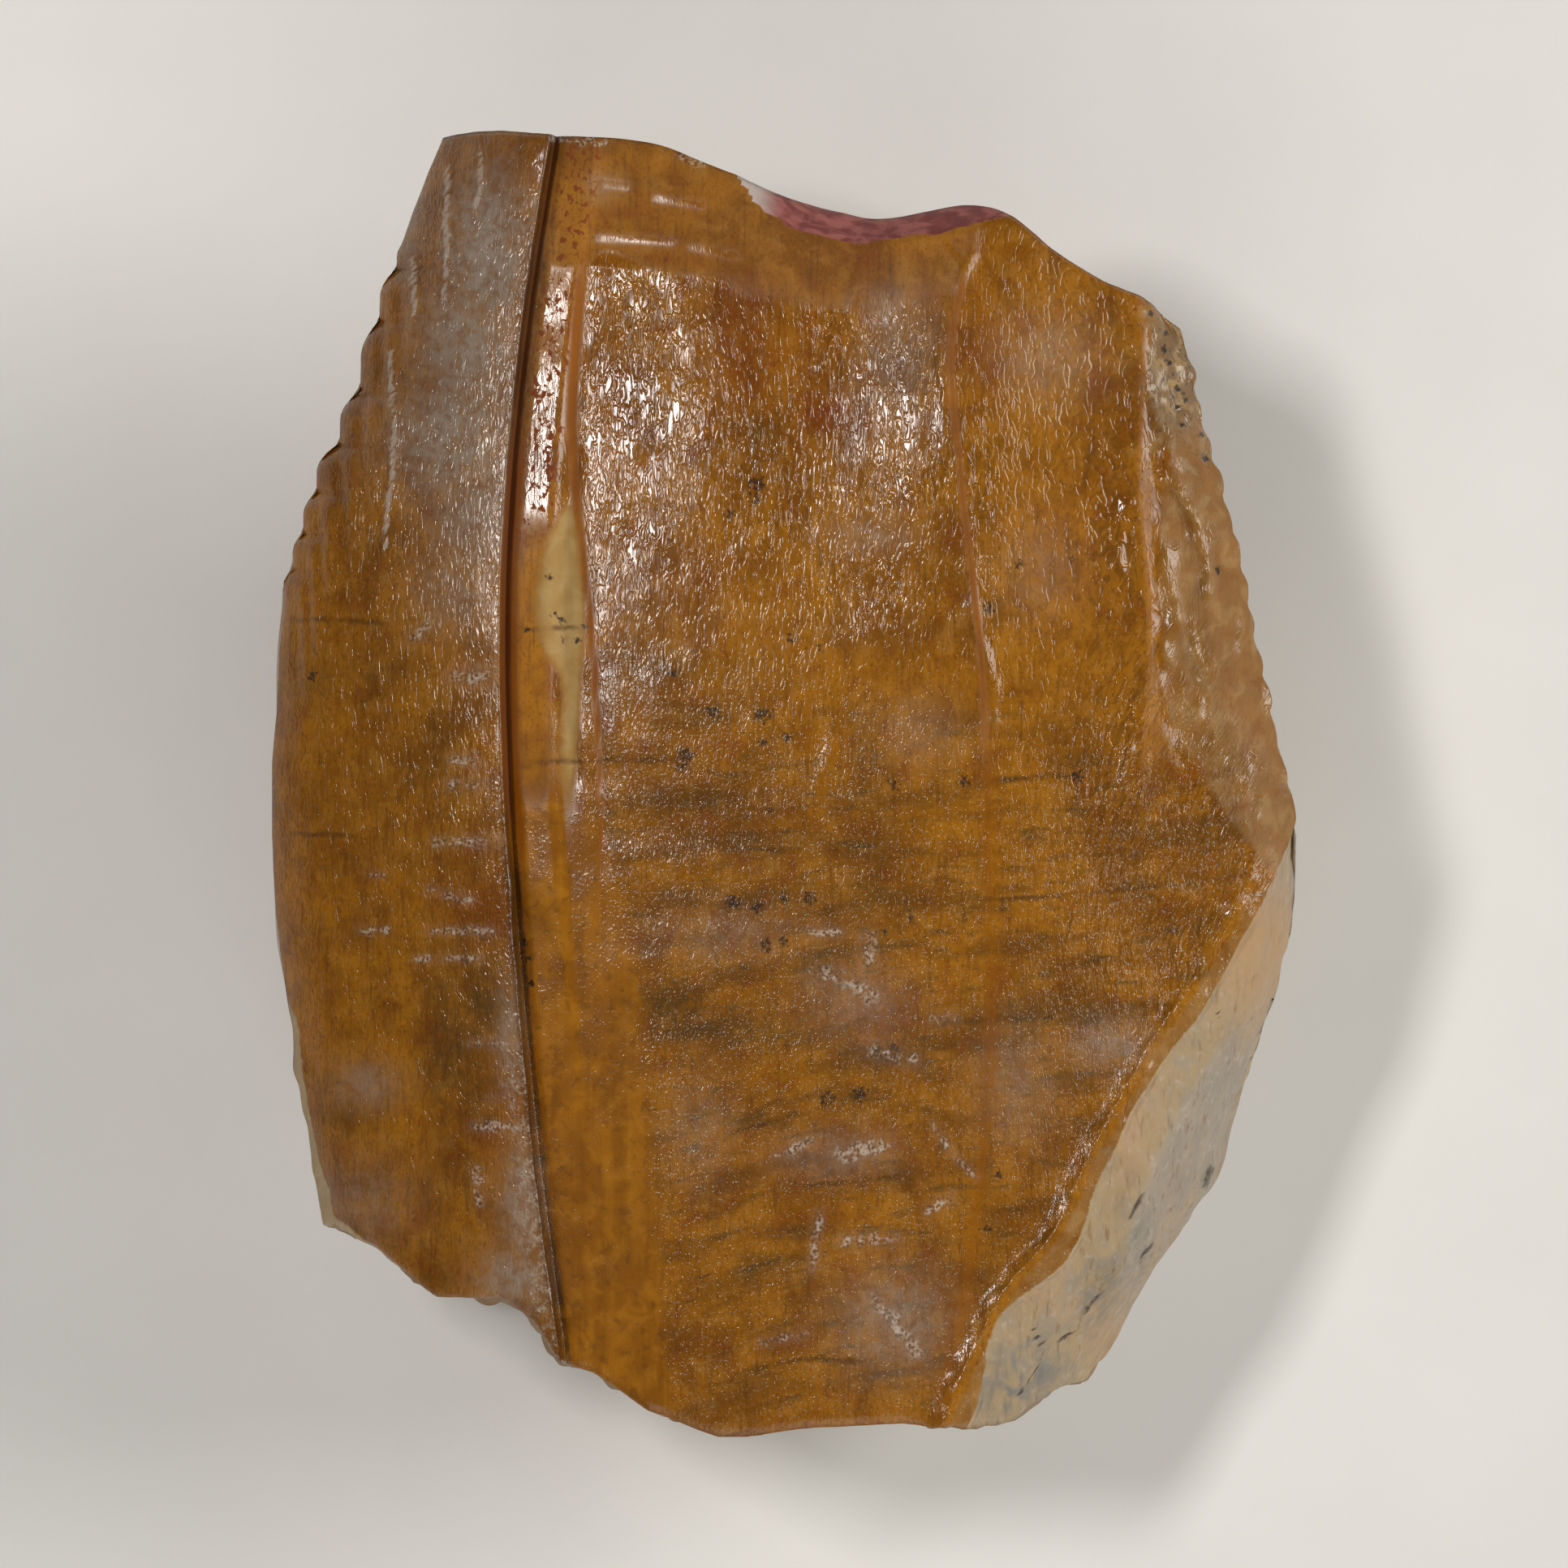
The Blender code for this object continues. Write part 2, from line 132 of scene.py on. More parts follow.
BASE_EDGE = [(-9.0, -7.9), (-8.0, -8.25), (-7.5, -8.5), (-6.4, -9.42), (-5.2, -9.43), (-4.6, -9.8),
             (-4.1, -10.6), (-3.5, -10.8), (-2.5, -11.5), (-1.2, -11.98), (-0.7, -11.99), (0.6, -11.8),
             (2.2, -11.73), (3.3, -11.87), (4.2, -11.69), (4.9, -11.15), (5.75, -10.94), (7.0, -10.7)]

# Lines on the face, as (y, x), and the arc where the chip bites into it, as (x, y)
CREST = [(-13.0, -3.8), (-10.6, -4.12), (-7.7, -4.50), (-3.5, -4.92), (0.2, -5.17), (4.3, -5.19),
         (8.1, -4.87), (12.0, -4.30)]
PALE_LINE = [(-13.0, -2.2), (-8.0, -3.2), (-2.0, -3.98), (2.5, -3.80), (7.0, -3.92), (12.0, -3.45)]
RIDGE_TWO = [(-13.0, 2.6), (-7.2, 3.62), (-1.0, 3.75), (2.2, 3.62), (5.7, 3.23), (8.2, 3.08), (9.8, 3.42),
             (12.0, 3.9)]
RIDGE_THREE = [(-13.0, 6.6), (-2.8, 6.64), (0.2, 6.59), (2.5, 6.71), (5.4, 6.53), (9.0, 6.49), (12.0, 5.4)]
RIM = [(-13.0, 2.45), (-10.5, 3.45), (-9.1, 4.20), (-8.4, 4.84), (-6.9, 5.59), (-4.6, 6.86), (-2.9, 7.98),
       (-1.4, 8.60), (0.9, 8.16), (4.0, 7.80), (5.3, 7.41), (6.1, 7.03), (9.0, 6.90)]
ENAMEL_FOOT = [(-13.0, 2.8), (-11.3, 3.57), (-9.6, 4.09), (-8.9, 4.99), (-7.2, 5.81), (-5.3, 6.78),
               (-4.0, 7.76), (-2.5, 8.58), (-1.0, 9.30), (0.0, 9.60), (2.0, 9.60), (9.0, 9.60)]
CHIP_ARC = [(-1.2, 13.0), (-0.9, 11.2), (-0.5, 10.6), (0.3, 10.1), (1.3, 9.87), (2.9, 10.1), (4.2, 10.45),
            (4.4, 13.0)]
FOOT_ROOM = 0.16
RIM_ROOM = 0.22
RIDGE_THREE_ROOM = 0.75
RIDGE_TWO_ROOM = 0.85

# The mesh: strips between neighbouring lines, rows up the face, bands down the wall, a coarser back
STRIPS = [16, 34, 5, 5, 5, 10, 82, 5, 5, 32, 5, 5, 12, 9, 20]
ROWS = 236
BANDS_NEAR_FACE = [0.0, 0.006, 0.014, 0.025, 0.04, 0.06, 0.085, 0.115]
BANDS_BELOW = 19
BACK_ROWS = 78
BACK_COLUMNS = 82
EVENING_AT_BACK = 0.6
FITTING_ROUNDS = 40

# Ribs that run down the face from the notches between the denticles
RIB_RUN = (0.0, 0.3, 1.2, 3.0)
RIB_LEAN = 0.05
RIB_GROOVE = 0.04
RIB_HEIGHT = 0.03
RIB_WIDTH = 0.07
RIB_OFFSET = 0.17

# The two ridges as they look: a low swell with a narrow smooth line on it, each a height and a width
RIDGE_SWELL = (0.03, 0.22)
RIDGE_LINE = (0.014, 0.07)

# Raised and sunken lines of the face, as heights, widths and (x, y) paths; a pale highlight is painted along
# the first ones
RAISED = [
    (0.025, 0.08, [(-6.19, 11.43), (-6.22, 10.28), (-6.19, 9.80), (-6.26, 8.89)]),
    (0.025, 0.08, [(-5.59, 11.61), (-5.59, 11.04), (-5.66, 10.61)]),
    (0.025, 0.08, [(-6.83, 9.65), (-6.81, 8.61)]),
    (0.030, 0.09, [(-7.26, 7.95), (-7.23, 7.20), (-7.16, 6.64), (-7.20, 5.78), (-7.32, 4.92), (-7.32, 4.35)]),
    (0.012, 0.12, [(-3.30, 10.97), (-2.48, 10.89), (-1.58, 10.66)]),
    (0.015, 0.12, [(-3.35, 10.05), (-2.48, 10.00), (-1.29, 9.86)]),
    (0.03, 0.14, [(-3.57, 9.55), (-2.63, 9.53), (-1.73, 9.38), (-0.60, 9.30)]),
    (0.04, 0.11, [(1.37, 9.47), (1.27, 8.89), (0.99, 8.28), (0.79, 7.80), (0.37, 7.28)]),
    (0.04, 0.08, [(2.93, 8.74), (2.90, 6.95), (2.99, 5.66), (3.14, 4.26), (3.26, 3.74)]),
    (0.05, 0.09, [(3.24, 5.95), (3.36, 4.71), (3.44, 3.80), (3.51, 2.99), (3.69, 2.47), (3.86, 1.87),
                  (3.87, 1.12)]),
    (0.04, 0.06, [(3.44, 9.67), (3.29, 9.41), (3.20, 9.16)]),
    (0.03, 0.07, [(4.38, 7.34), (4.99, 7.55), (5.44, 7.76)]),
    (0.03, 0.07, [(0.90, 1.10), (0.72, 0.37), (0.52, -0.45)]),
    (0.06, 0.11, [(6.96, 6.14), (7.05, 5.57), (7.29, 5.35)]),
    (0.06, 0.11, [(7.38, 5.14), (7.62, 4.51), (7.74, 4.03), (7.76, 3.47)]),
    (0.06, 0.10, [(6.29, 5.10), (6.14, 4.51), (6.26, 3.90)]),
    (0.06, 0.10, [(6.41, 1.27), (6.35, 0.60), (6.20, -0.22)]),
    (0.06, 0.10, [(6.86, 0.97), (7.16, 0.37)]),
    (0.05, 0.12, [(7.55, 2.6), (7.70, 1.9), (7.62, 1.2)]),
    (0.05, 0.12, [(7.05, 4.3), (7.15, 3.2), (7.05, 2.4)]),
    (-0.04, 0.10, [(-3.80, 6.05), (-3.98, 4.86), (-4.00, 2.62), (-3.89, 0.07)]),
    (-0.02, 0.18, [(-3.43, 9.72), (-2.63, 9.72), (-1.73, 9.60), (-0.60, 9.50)]),
    (-0.012, 0.18, [(-3.30, 10.45), (-2.48, 10.40), (-1.29, 10.20)]),
    (0.16, 0.35, [(7.53, -5.45), (6.74, -6.89), (6.32, -8.17), (6.19, -9.18), (6.05, -9.86)]),
]
RAISED_UNEVENNESS = (0.75, (0.45, 0.45, 0.45), 31)
RAISED_WANDER = (0.07, (0.40, 0.40, 0.40), 33)
# How many of the first raised lines get a painted pale highlight, and its width
PAINTED_GLINT_LINES = 4
PAINTED_GLINT_WIDTH = 0.05

# The high ones stay glossy on the dull right margin, a little wider than they stand
GLOSSY_LINE_HEIGHT = 0.045
GLOSSY_LINE_SPREAD = 1.5

# Round bumps, as heights, (x, y) centres and reaches: on the rim, the upper margin and the chalky flank
BUMPS = [
    (0.07, (8.47, -0.70), 0.16), (0.06, (8.58, -1.05), 0.14), (0.05, (8.35, -0.35), 0.15),
    (0.07, (8.56, -2.47), 0.18), (0.06, (8.38, -2.76), 0.14), (0.06, (7.62, -2.91), 0.13),
    (0.05, (7.90, -2.62), 0.13), (0.07, (7.20, -3.51), 0.20), (0.05, (7.38, -3.14), 0.14),
    (0.05, (6.78, -4.03), 0.16), (0.05, (7.12, -4.18), 0.12), (0.05, (6.56, -4.48), 0.12),
    (0.10, (4.65, -9.34), 0.24), (0.10, (3.95, -10.54), 0.26), (0.08, (4.95, -10.70), 0.22),
    (0.08, (6.23, -6.75), 0.16), (0.06, (8.20, 0.10), 0.16), (0.05, (7.95, 0.75), 0.16),
    (0.05, (8.40, 1.00), 0.14), (-0.05, (8.75, 1.70), 0.22),
]

# Low swells, as heights, (x, y) centres and (x, y) reaches, and the sunken line down the panel
BROAD_SWELLS = [
    (0.38, (3.25, 6.6), (1.75, 4.2)), (0.14, (-1.1, 7.2), (1.5, 3.4)), (0.05, (1.8, 2.6), (1.3, 0.8)),
]
LINE_SINK = (0.015, 0.15)
LINE_SINK_FADE = (-5.0, 1.0)

# Unevenness of the enamel: height, the size of one lump along X, Y and Z, and the seed
LUMPS = (0.022, (1.5, 1.7, 1.6), 1)
DIMPLES = (0.010, (0.55, 0.70, 0.6), 3)
WRINKLES = (0.010, (0.21, 0.50, 0.6), 5)
GROWTH_WAVES = (0.008, (1.6, 0.30, 1.0), 23)
RIM_ROUGHNESS = (0.035, (0.22, 0.22, 0.22), 25)
MARGIN_BUMPS = (0.06, (0.30, 0.50, 0.5), 7)

# The bare dentine: growth lines along the sides, a granular break at the base, a worn facet at the tip
FLANK_LINES = (0.025, (0.30, 1.4, 1.2), 9)
FLANK_LUMPS = (0.075, (0.60, 0.75, 0.9), 27)
SIDE_LINES = (0.055, (0.35, 2.6, 0.55), 11)
SIDE_LUMPS = (0.10, (1.3, 2.8, 1.5), 13)
BREAK_GRAIN = (0.11, (0.45, 0.45, 0.45), 15)
BREAK_LUMPS = (0.22, (1.5, 1.5, 1.5), 17)
FACET_LINES = (0.020, (0.30, 1.0, 0.30), 19)
BACK_LINES = (0.08, (0.9, 3.5, 1.2), 21)

# The rough band along the rim, how much calmer smooth places are, the worn edge, and the noise's lattice
RIM_ROUGH_WIDTH = 0.312
SMOOTH_CALM = 0.6
EDGE_ROUNDING = 0.06
EDGE_WIDTH = 0.10
LATTICE = 29


def srgb(red, green, blue):
    """A colour from its 0 to 255 values."""
    values = np.array([red, green, blue]) / 255.0
    linear = np.where(values <= 0.04045, values / 12.92, ((values + 0.055) / 1.055) ** 2.4)
    return (*linear.tolist(), 1.0)


# Colours of the enamel
AMBER = srgb(148, 94, 16)
AMBER_DEEP = srgb(120, 72, 10)
AMBER_PALE = srgb(162, 112, 44)
GOLD = srgb(170, 110, 16)
ORANGE = srgb(136, 74, 2)
RUST = srgb(114, 46, 14)
BARK = srgb(78, 48, 14)
OLIVE = srgb(70, 52, 22)
# Greyish haze of the enamel; on the upper left panel it is a painted sheen
HAZE_AND_SHEEN = srgb(152, 136, 120)
BAND_AMBER = srgb(148, 94, 18)
CREAM = srgb(156, 118, 58)
CREAM_PALE = srgb(180, 154, 104)
TAN = srgb(138, 100, 54)
TAN_PALE = srgb(166, 134, 88)
GREY_CREAM = srgb(112, 92, 66)
CREVICE_RED = srgb(132, 68, 8)
# Painted shadow: the dark line along the foot of the crest's step, in the crevice
CREVICE_SHADOW_PAINT = srgb(56, 28, 8)
WORN_GREY = srgb(160, 142, 122)
SCUFF = srgb(178, 162, 146)
SOOT = srgb(34, 29, 27)

# Colours of the dentine
IVORY = srgb(160, 146, 125)
DENTINE_CREAM = srgb(158, 133, 94)
DENTINE_WARM = srgb(166, 141, 108)
DENTINE_GREY = srgb(141, 131, 118)
DENTINE_STEEL = srgb(104, 107, 104)
DENTINE_BROWN = srgb(116, 88, 56)
PEACH = srgb(170, 136, 98)
PINK = srgb(152, 84, 76)
PINK_DEEP = srgb(112, 42, 38)
CHIP_PALE = srgb(190, 180, 172)

# Noises of the surface: the coordinates they follow, the size of a lump in millimetres, detail and twist
NOISES = {
    "blotches": ("plain", (1.3, 1.5, 1.5), 4.0, 0.4),
    "patches": ("plain", (0.42, 0.48, 0.45), 4.0, 0.6),
    "breakup": ("plain", (0.18, 0.20, 0.20), 3.0, 0.5),
    "specks": ("plain", (0.06, 0.07, 0.07), 2.0, 0.0),
    "pits": ("plain", (0.10, 0.15, 0.15), 2.0, 0.3),
    "fine_pits": ("plain", (0.055, 0.065, 0.065), 1.0, 0.0),
    "brushed": ("plain", (0.05, 0.9, 0.4), 2.0, 0.0),
    "granules": ("plain", (0.14, 0.22, 0.16), 4.0, 0.0),
    "clouds": ("plain", (1.8, 3.0, 2.0), 3.0, 0.0),
    "dentine_streaks": ("plain", (0.28, 2.0, 0.5), 4.0, 0.4),
    "fine_streaks": ("plain", (0.10, 0.5, 0.2), 3.0, 0.0),
    "wrinkles": ("fibres", (0.105, 0.36, 0.36), 1.0, 0.9),
    "streaks": ("fibres", (0.075, 0.9, 0.6), 3.0, 0.2),
    "wide_streaks": ("fibres", (0.30, 4.0, 2.0), 3.0, 0.2),
    "bands": ("layers", (1.0, 0.24, 0.8), 4.0, 0.3),
    "soft_bands": ("layers", (2.0, 0.60, 1.5), 3.0, 0.2),
}

# Layers of colour, the lowest first: a colour, its place (None is everywhere) and its share there
AMBER_LAYERS = [
    (AMBER_DEEP, None, ("blotches", 0.38, 0.62)),
    (AMBER_PALE, None, ("patches", 0.48, 0.70, 0.0, 0.45)),
    (RUST, None, ("patches", 0.46, 0.28, 0.0, 0.40)),
    (GOLD, "gold", ("patches", 0.30, 0.65, 0.45, 1.0)),
    # Reddish tints, with one painted shadow under the top fold
    (RUST, "red", ("breakup", 0.30, 0.65, 0.40, 0.9)),
    (BARK, None, ("streaks", 0.52, 0.74, 0.0, 0.40)),
    # Painted shade: darker in the valleys between the wrinkles
    (BARK, "wrinkle", ("folds", 0.6, 0.0, 0.0, 0.45)),
    (BARK, None, ("specks", 0.52, 0.78, 0.0, 0.50)),
    (AMBER_PALE, None, ("specks", 0.45, 0.20, 0.0, 0.30)),
    (BARK, "banding", ("soft_bands", 0.46, 0.70, 0.0, 0.55)),
    (OLIVE, "patchy_banding", ("bands", 0.50, 0.78, 0.0, 0.85)),
    (OLIVE, "shade", ("breakup", 0.30, 0.62, 0.25, 0.85)),
    # Grey haze, partly a painted sheen on the upper left panel
    (HAZE_AND_SHEEN, "haze_and_sheen", ("breakup", 0.30, 0.66, 0.35, 0.80)),
]
BAND_LAYERS = [
    (AMBER_DEEP, None, ("wide_streaks", 0.42, 0.62, 0.0, 0.8)),
    (AMBER_DEEP, None, ("blotches", 0.42, 0.58, 0.0, 0.6)),
    (GOLD, None, ("patches", 0.45, 0.70, 0.0, 0.5)),
    (BARK, None, ("breakup", 0.50, 0.75, 0.0, 0.55)),
]
BAND_PLACE = (("band", "breakup", 0.6, 0.1, 0.9), 0.75)
ENAMEL_LAYERS = [
    (TAN, ("margin", "patches", 1.2, 0.2, 0.9), 0.65),
    (TAN_PALE, "margin", ("patches", 0.48, 0.72, 0.0, 0.40)),
    (AMBER_DEEP, "margin", ("patches", 0.46, 0.28, 0.0, 0.5)),
    (GREY_CREAM, ("corner", "patches", 1.6, 0.25, 0.9), ("specks", 0.3, 0.6, 0.5, 0.95)),
    (TAN_PALE, "corner", ("patches", 0.52, 0.66, 0.0, 0.7)),
    (SOOT, "corner", ("specks", 0.58, 0.72, 0.0, 0.7)),
    (ORANGE, "orange", ("wide_streaks", 0.3, 0.6, 0.6, 0.9)),
    (CREAM, ("lens", "breakup", 0.5, 0.1, 0.9), 0.9),
    (CREAM_PALE, ("lens", "patches", 1.4, 0.5, 1.3), 0.6),
    (RUST, "shelf", ("pits", 0.54, 0.64, 0.0, 0.8)),
    (CREVICE_RED, "crevice", 0.9),
    # Painted shadow along the crevice's groove
    (CREVICE_SHADOW_PAINT, "groove", ("breakup", 0.3, 0.5, 0.7, 1.0)),
    (BARK, "dark_line", ("patches", 0.32, 0.60, 0.10, 0.75)),
    (SOOT, ("cluster", "specks", 1.6, 0.55, 0.95), 0.75),
    (SOOT, ("speck", "specks", 1.2, 0.40, 0.8), 0.9),
    (WORN_GREY, ("worn", "breakup", 1.2, 0.35, 0.9), ("specks", 0.4, 0.6)),
    # Painted highlight: pale glints along the first raised lines
    (SCUFF, ("painted_line_glints", "breakup", 1.2, 0.25, 0.8), 0.8),
    (SOOT, ("scuff", "breakup", 2.0, 0.4, 0.9), ("specks", 0.50, 0.36, 0.0, 0.5)),
    (SCUFF, ("scuff", "breakup", 2.0, 0.6, 1.2), ("specks", 0.42, 0.60, 0.0, 0.9)),
]
DENTINE_LAYERS = [
    (DENTINE_CREAM, None, ("outer", 0.7, 0.0, 0.0, 0.75)),
    (DENTINE_GREY, "outer", ("blotches", 0.3, 0.6, 0.3, 0.9)),
    (DENTINE_WARM, None, ("clouds", 0.42, 0.66, 0.0, 0.7)),
    (DENTINE_GREY, None, ("dentine_streaks", 0.52, 0.72, 0.0, 0.6)),
    (DENTINE_GREY, None, ("patches", 0.48, 0.70, 0.0, 0.5)),
    (CHIP_PALE, None, ("breakup", 0.52, 0.78, 0.0, 0.35)),
    (DENTINE_BROWN, None, ("fine_streaks", 0.54, 0.76, 0.0, 0.65)),
    (PEACH, "peach", ("patches", 0.3, 0.6, 0.5, 0.95)),
    (DENTINE_STEEL, "steel", ("patches", 0.35, 0.62, 0.1, 0.85)),
    (DENTINE_BROWN, "broken", ("clouds", 0.3, 0.7, 0.30, 0.75)),
    (AMBER_DEEP, "stained", ("patches", 0.35, 0.65, 0.1, 0.6)),
    (SOOT, ("stain", "breakup", 1.2, 0.35, 0.9), 0.85),
]
CHIP_LAYERS = [
    (PINK_DEEP, None, ("patches", 0.40, 0.62)),
    (CHIP_PALE, None, ("x", 0.0, -0.6, 0.0, 0.8)),
]

# Where growth bands are patchy, where pits start and are full, and how the dentine's and chip's edges fray
PATCHY = (0.35, 0.60)
PIT_LEVELS = (0.50, 0.75)
SHELF_PITS = ("pits", 0.54, 0.64)
DENTINE_RAGGED = (0.5, 0.35, 0.65)
CHIP_RAGGED = (0.3, 0.35, 0.65)

# Places of a tint or a gloss: x, y, its reach along X and Y, and its strength
# Reddish tints; the flat strip at (-2.33, 9.64) is a painted shadow under the fold above it
RED_PLACES = [
    (0.73, 6.87, 0.63, 0.45, 1.0), (0.51, 7.85, 0.45, 0.9, 0.5), (-0.76, 8.0, 0.9, 1.34, 0.6),
    (-5.47, 10.39, 0.6, 0.75, 0.5), (-6.07, 9.34, 0.9, 0.9, 0.35), (-2.93, 10.48, 0.67, 0.13, 0.6),
    (-2.33, 9.64, 0.9, 0.13, 0.6), (1.4, 9.67, 0.6, 0.27, 0.5), (3.65, 8.0, 0.6, 0.9, 0.5),
    (-5.47, -2.32, 0.75, 0.6, 0.5), (-5.1, -5.68, 0.37, 0.37, 0.6), (-5.47, -6.5, 0.6, 0.6, 0.4),
    (7.83, 6.05, 0.37, 0.33, 0.5), (-3.15, 6.65, 0.6, 1.79, 0.3), (4.99, 4.26, 0.6, 0.9, 0.3),
    (-1.43, 3.96, 0.9, 0.6, 0.3), (1.7, -4.26, 0.9, 0.6, 0.4), (0.51, -6.8, 0.9, 0.6, 0.3),
    (-1.43, -4.26, 0.6, 0.6, 0.3),
]
GOLD_PLACES = [
    (-0.39, 4.71, 1.64, 0.6, 0.5), (0.66, 3.51, 1.79, 0.67, 0.6), (2.3, 1.87, 1.64, 0.67, 0.7),
    (3.2, -0.67, 0.97, 0.9, 0.8), (4.99, -1.42, 1.2, 0.9, 0.4), (-8.46, -2.02, 0.6, 1.34, 0.6),
    (-8.9, -3.2, 0.5, 4.0, 0.6), (-6.95, -4.9, 0.30, 2.5, 0.8), (-8.3, 1.0, 0.8, 1.5, 0.5),
    (-6.9, 2.5, 0.6, 1.6, 0.4), (-7.71, -0.52, 0.75, 0.9, 0.4), (-7.86, -3.96, 0.67, 1.2, 0.5),
    (5.44, 0.07, 0.9, 0.9, 0.3), (2.6, -6.28, 0.9, 0.6, 0.4), (1.4, -7.7, 0.9, 0.27, 0.5),
    (-0.99, -9.49, 1.34, 0.6, 0.4), (-1.58, -5.45, 0.9, 0.6, 0.3), (2.15, -3.36, 0.9, 0.6, 0.4),
    (0.51, 1.42, 1.05, 0.75, 0.4), (3.95, 1.42, 0.9, 0.9, 0.4), (-4.12, 10.54, 0.6, 1.2, 0.4),
    (-2.48, 11.43, 1.34, 0.24, 0.5), (4.7, 3.2, 1.1, 4.2, 0.5), (4.2, -2.6, 1.4, 2.2, 0.4),
    (3.5, 9.94, 1.2, 0.45, 0.4), (-6.07, 11.43, 0.6, 0.45, 0.4), (7.23, -0.67, 0.9, 0.9, 0.5),
]
SHADE_PLACES = [
    (-1.99, -4.12, 0.67, 0.63, 0.9), (-0.99, -4.53, 1.64, 0.27, 0.7), (-0.39, -6.2, 0.9, 0.15, 0.6),
    (1.17, -5.71, 0.57, 0.18, 0.8), (-0.01, -8.22, 0.75, 0.15, 0.7), (-0.01, -8.7, 0.6, 0.1, 0.5),
    (3.95, -4.33, 0.9, 0.13, 0.6), (-0.46, 6.43, 0.48, 0.27, 0.6), (-5.47, -4.03, 0.63, 0.9, 0.8),
    (-5.84, -5.6, 0.6, 0.9, 0.5), (-4.5, -2.62, 0.6, 0.75, 0.6), (-2.33, 2.14, 1.05, 0.33, 0.5),
    (0.21, -1.12, 1.64, 0.18, 0.5), (-7.26, 2.02, 0.9, 0.45, 0.4), (5.44, 0.45, 0.75, 0.18, 0.5),
    (-8.61, 1.87, 0.6, 0.45, 0.5), (-8.16, -6.13, 0.6, 0.24, 0.5), (-0.09, -2.09, 0.9, 0.24, 0.6),
    (1.55, -1.72, 0.45, 0.9, 0.4), (-1.88, -0.3, 0.9, 0.21, 0.5), (1.4, 0.37, 0.3, 0.9, 0.4),
    (-6.37, 0.07, 0.45, 1.79, 0.4), (-1.29, 1.27, 0.6, 0.24, 0.5), (2.0, -5.01, 0.75, 0.27, 0.5),
    (4.84, -4.26, 0.9, 0.18, 0.4), (-3.98, -10.09, 0.6, 0.9, 0.3), (-0.54, -10.98, 0.9, 0.18, 0.4),
    (3.72, -6.5, 0.15, 2.39, 0.5), (-6.12, -4.8, 0.55, 1.7, 0.7),
]
# Grey haze: the places on the left panel above y = 3 are a painted sheen, the others are greyish tones of the
# enamel
HAZE_AND_SHEEN_PLACES = [
    (-5.47, 9.79, 0.8, 1.6, 1.4), (-6.07, 6.35, 1.2, 1.2, 1.2), (-5.62, 4.86, 0.9, 1.1, 0.9),
    (-5.8, 8.1, 1.0, 1.4, 1.2), (-5.92, 3.66, 0.9, 0.9, 0.6), (-6.9, 10.4, 0.5, 1.2, 0.6),
    (-5.02, -4.63, 0.24, 0.9, 0.8), (-4.8, -7.7, 0.39, 1.05, 0.9), (-4.99, -9.07, 0.63, 0.54, 1.0),
    (-7.71, -5.53, 0.63, 0.42, 0.6), (-7.71, -7.7, 0.9, 0.75, 0.4), (4.84, 7.85, 0.9, 0.75, 0.5),
    (5.96, -4.78, 0.67, 0.42, 0.7), (2.0, -9.86, 0.97, 0.9, 0.7), (1.4, -4.03, 0.9, 0.67, 0.4),
    (2.15, 8.0, 0.67, 1.05, 0.5), (4.24, -5.45, 0.75, 1.05, 0.4), (-0.99, -2.76, 1.34, 0.45, 0.3),
    (0.96, -6.8, 1.05, 0.45, 0.4), (2.45, 0.97, 0.75, 0.6, 0.3), (-3.38, 10.98, 0.3, 0.3, 0.4),
    (4.69, 3.96, 0.75, 0.9, 0.3), (1.4, 4.56, 0.75, 0.3, 0.4), (-1.58, -6.35, 0.6, 0.9, 0.3),
]
POLISHED_PLACES = [
    (-2.63, 8.59, 1.05, 1.12, 1.0), (-2.63, 6.95, 1.2, 1.34, 1.0), (-2.48, 4.86, 1.2, 1.05, 0.7),
    (2.15, 7.55, 0.9, 1.05, 1.0), (2.0, 5.68, 1.34, 0.75, 1.0), (0.96, 8.14, 0.37, 1.05, 0.9),
    (-0.99, 6.05, 1.79, 1.05, 0.6), (0.51, 4.86, 1.64, 0.9, 0.5), (-6.29, 9.94, 0.82, 1.49, 0.9),
    (-5.62, 10.09, 0.6, 1.34, 0.9), (-6.07, 6.35, 0.9, 0.9, 0.7), (-4.5, 7.25, 0.45, 2.24, 1.0),
    (6.04, 4.56, 0.39, 0.9, 0.9), (6.34, 0.97, 0.45, 0.9, 0.7), (5.89, -0.67, 0.75, 0.9, 0.7),
    (3.65, 4.86, 0.45, 1.79, 0.7), (5.66, -3.51, 0.75, 0.75, 0.6), (1.7, 3.66, 1.05, 0.75, 0.5),
    (-7.26, 5.45, 0.75, 2.24, 0.5), (7.9, 0.3, 0.7, 1.2, 0.8), (7.6, -3.0, 0.9, 0.9, 0.8),
]
PEACH_PLACES = [
    (8.7, -2.9, 0.9, 1.3, 1.0), (5.9, -10.2, 0.45, 0.7, 0.9), (6.35, -6.6, 0.35, 0.7, 0.6),
    (4.7, -9.3, 0.3, 0.3, 0.4),
]
STEEL_PLACES = [
    (4.5, -10.7, 0.75, 0.65, 1.0), (4.1, -11.2, 0.6, 0.4, 1.0), (5.75, -9.5, 0.40, 0.9, 0.8),
    (6.5, -8.9, 0.25, 1.2, 0.5),
]

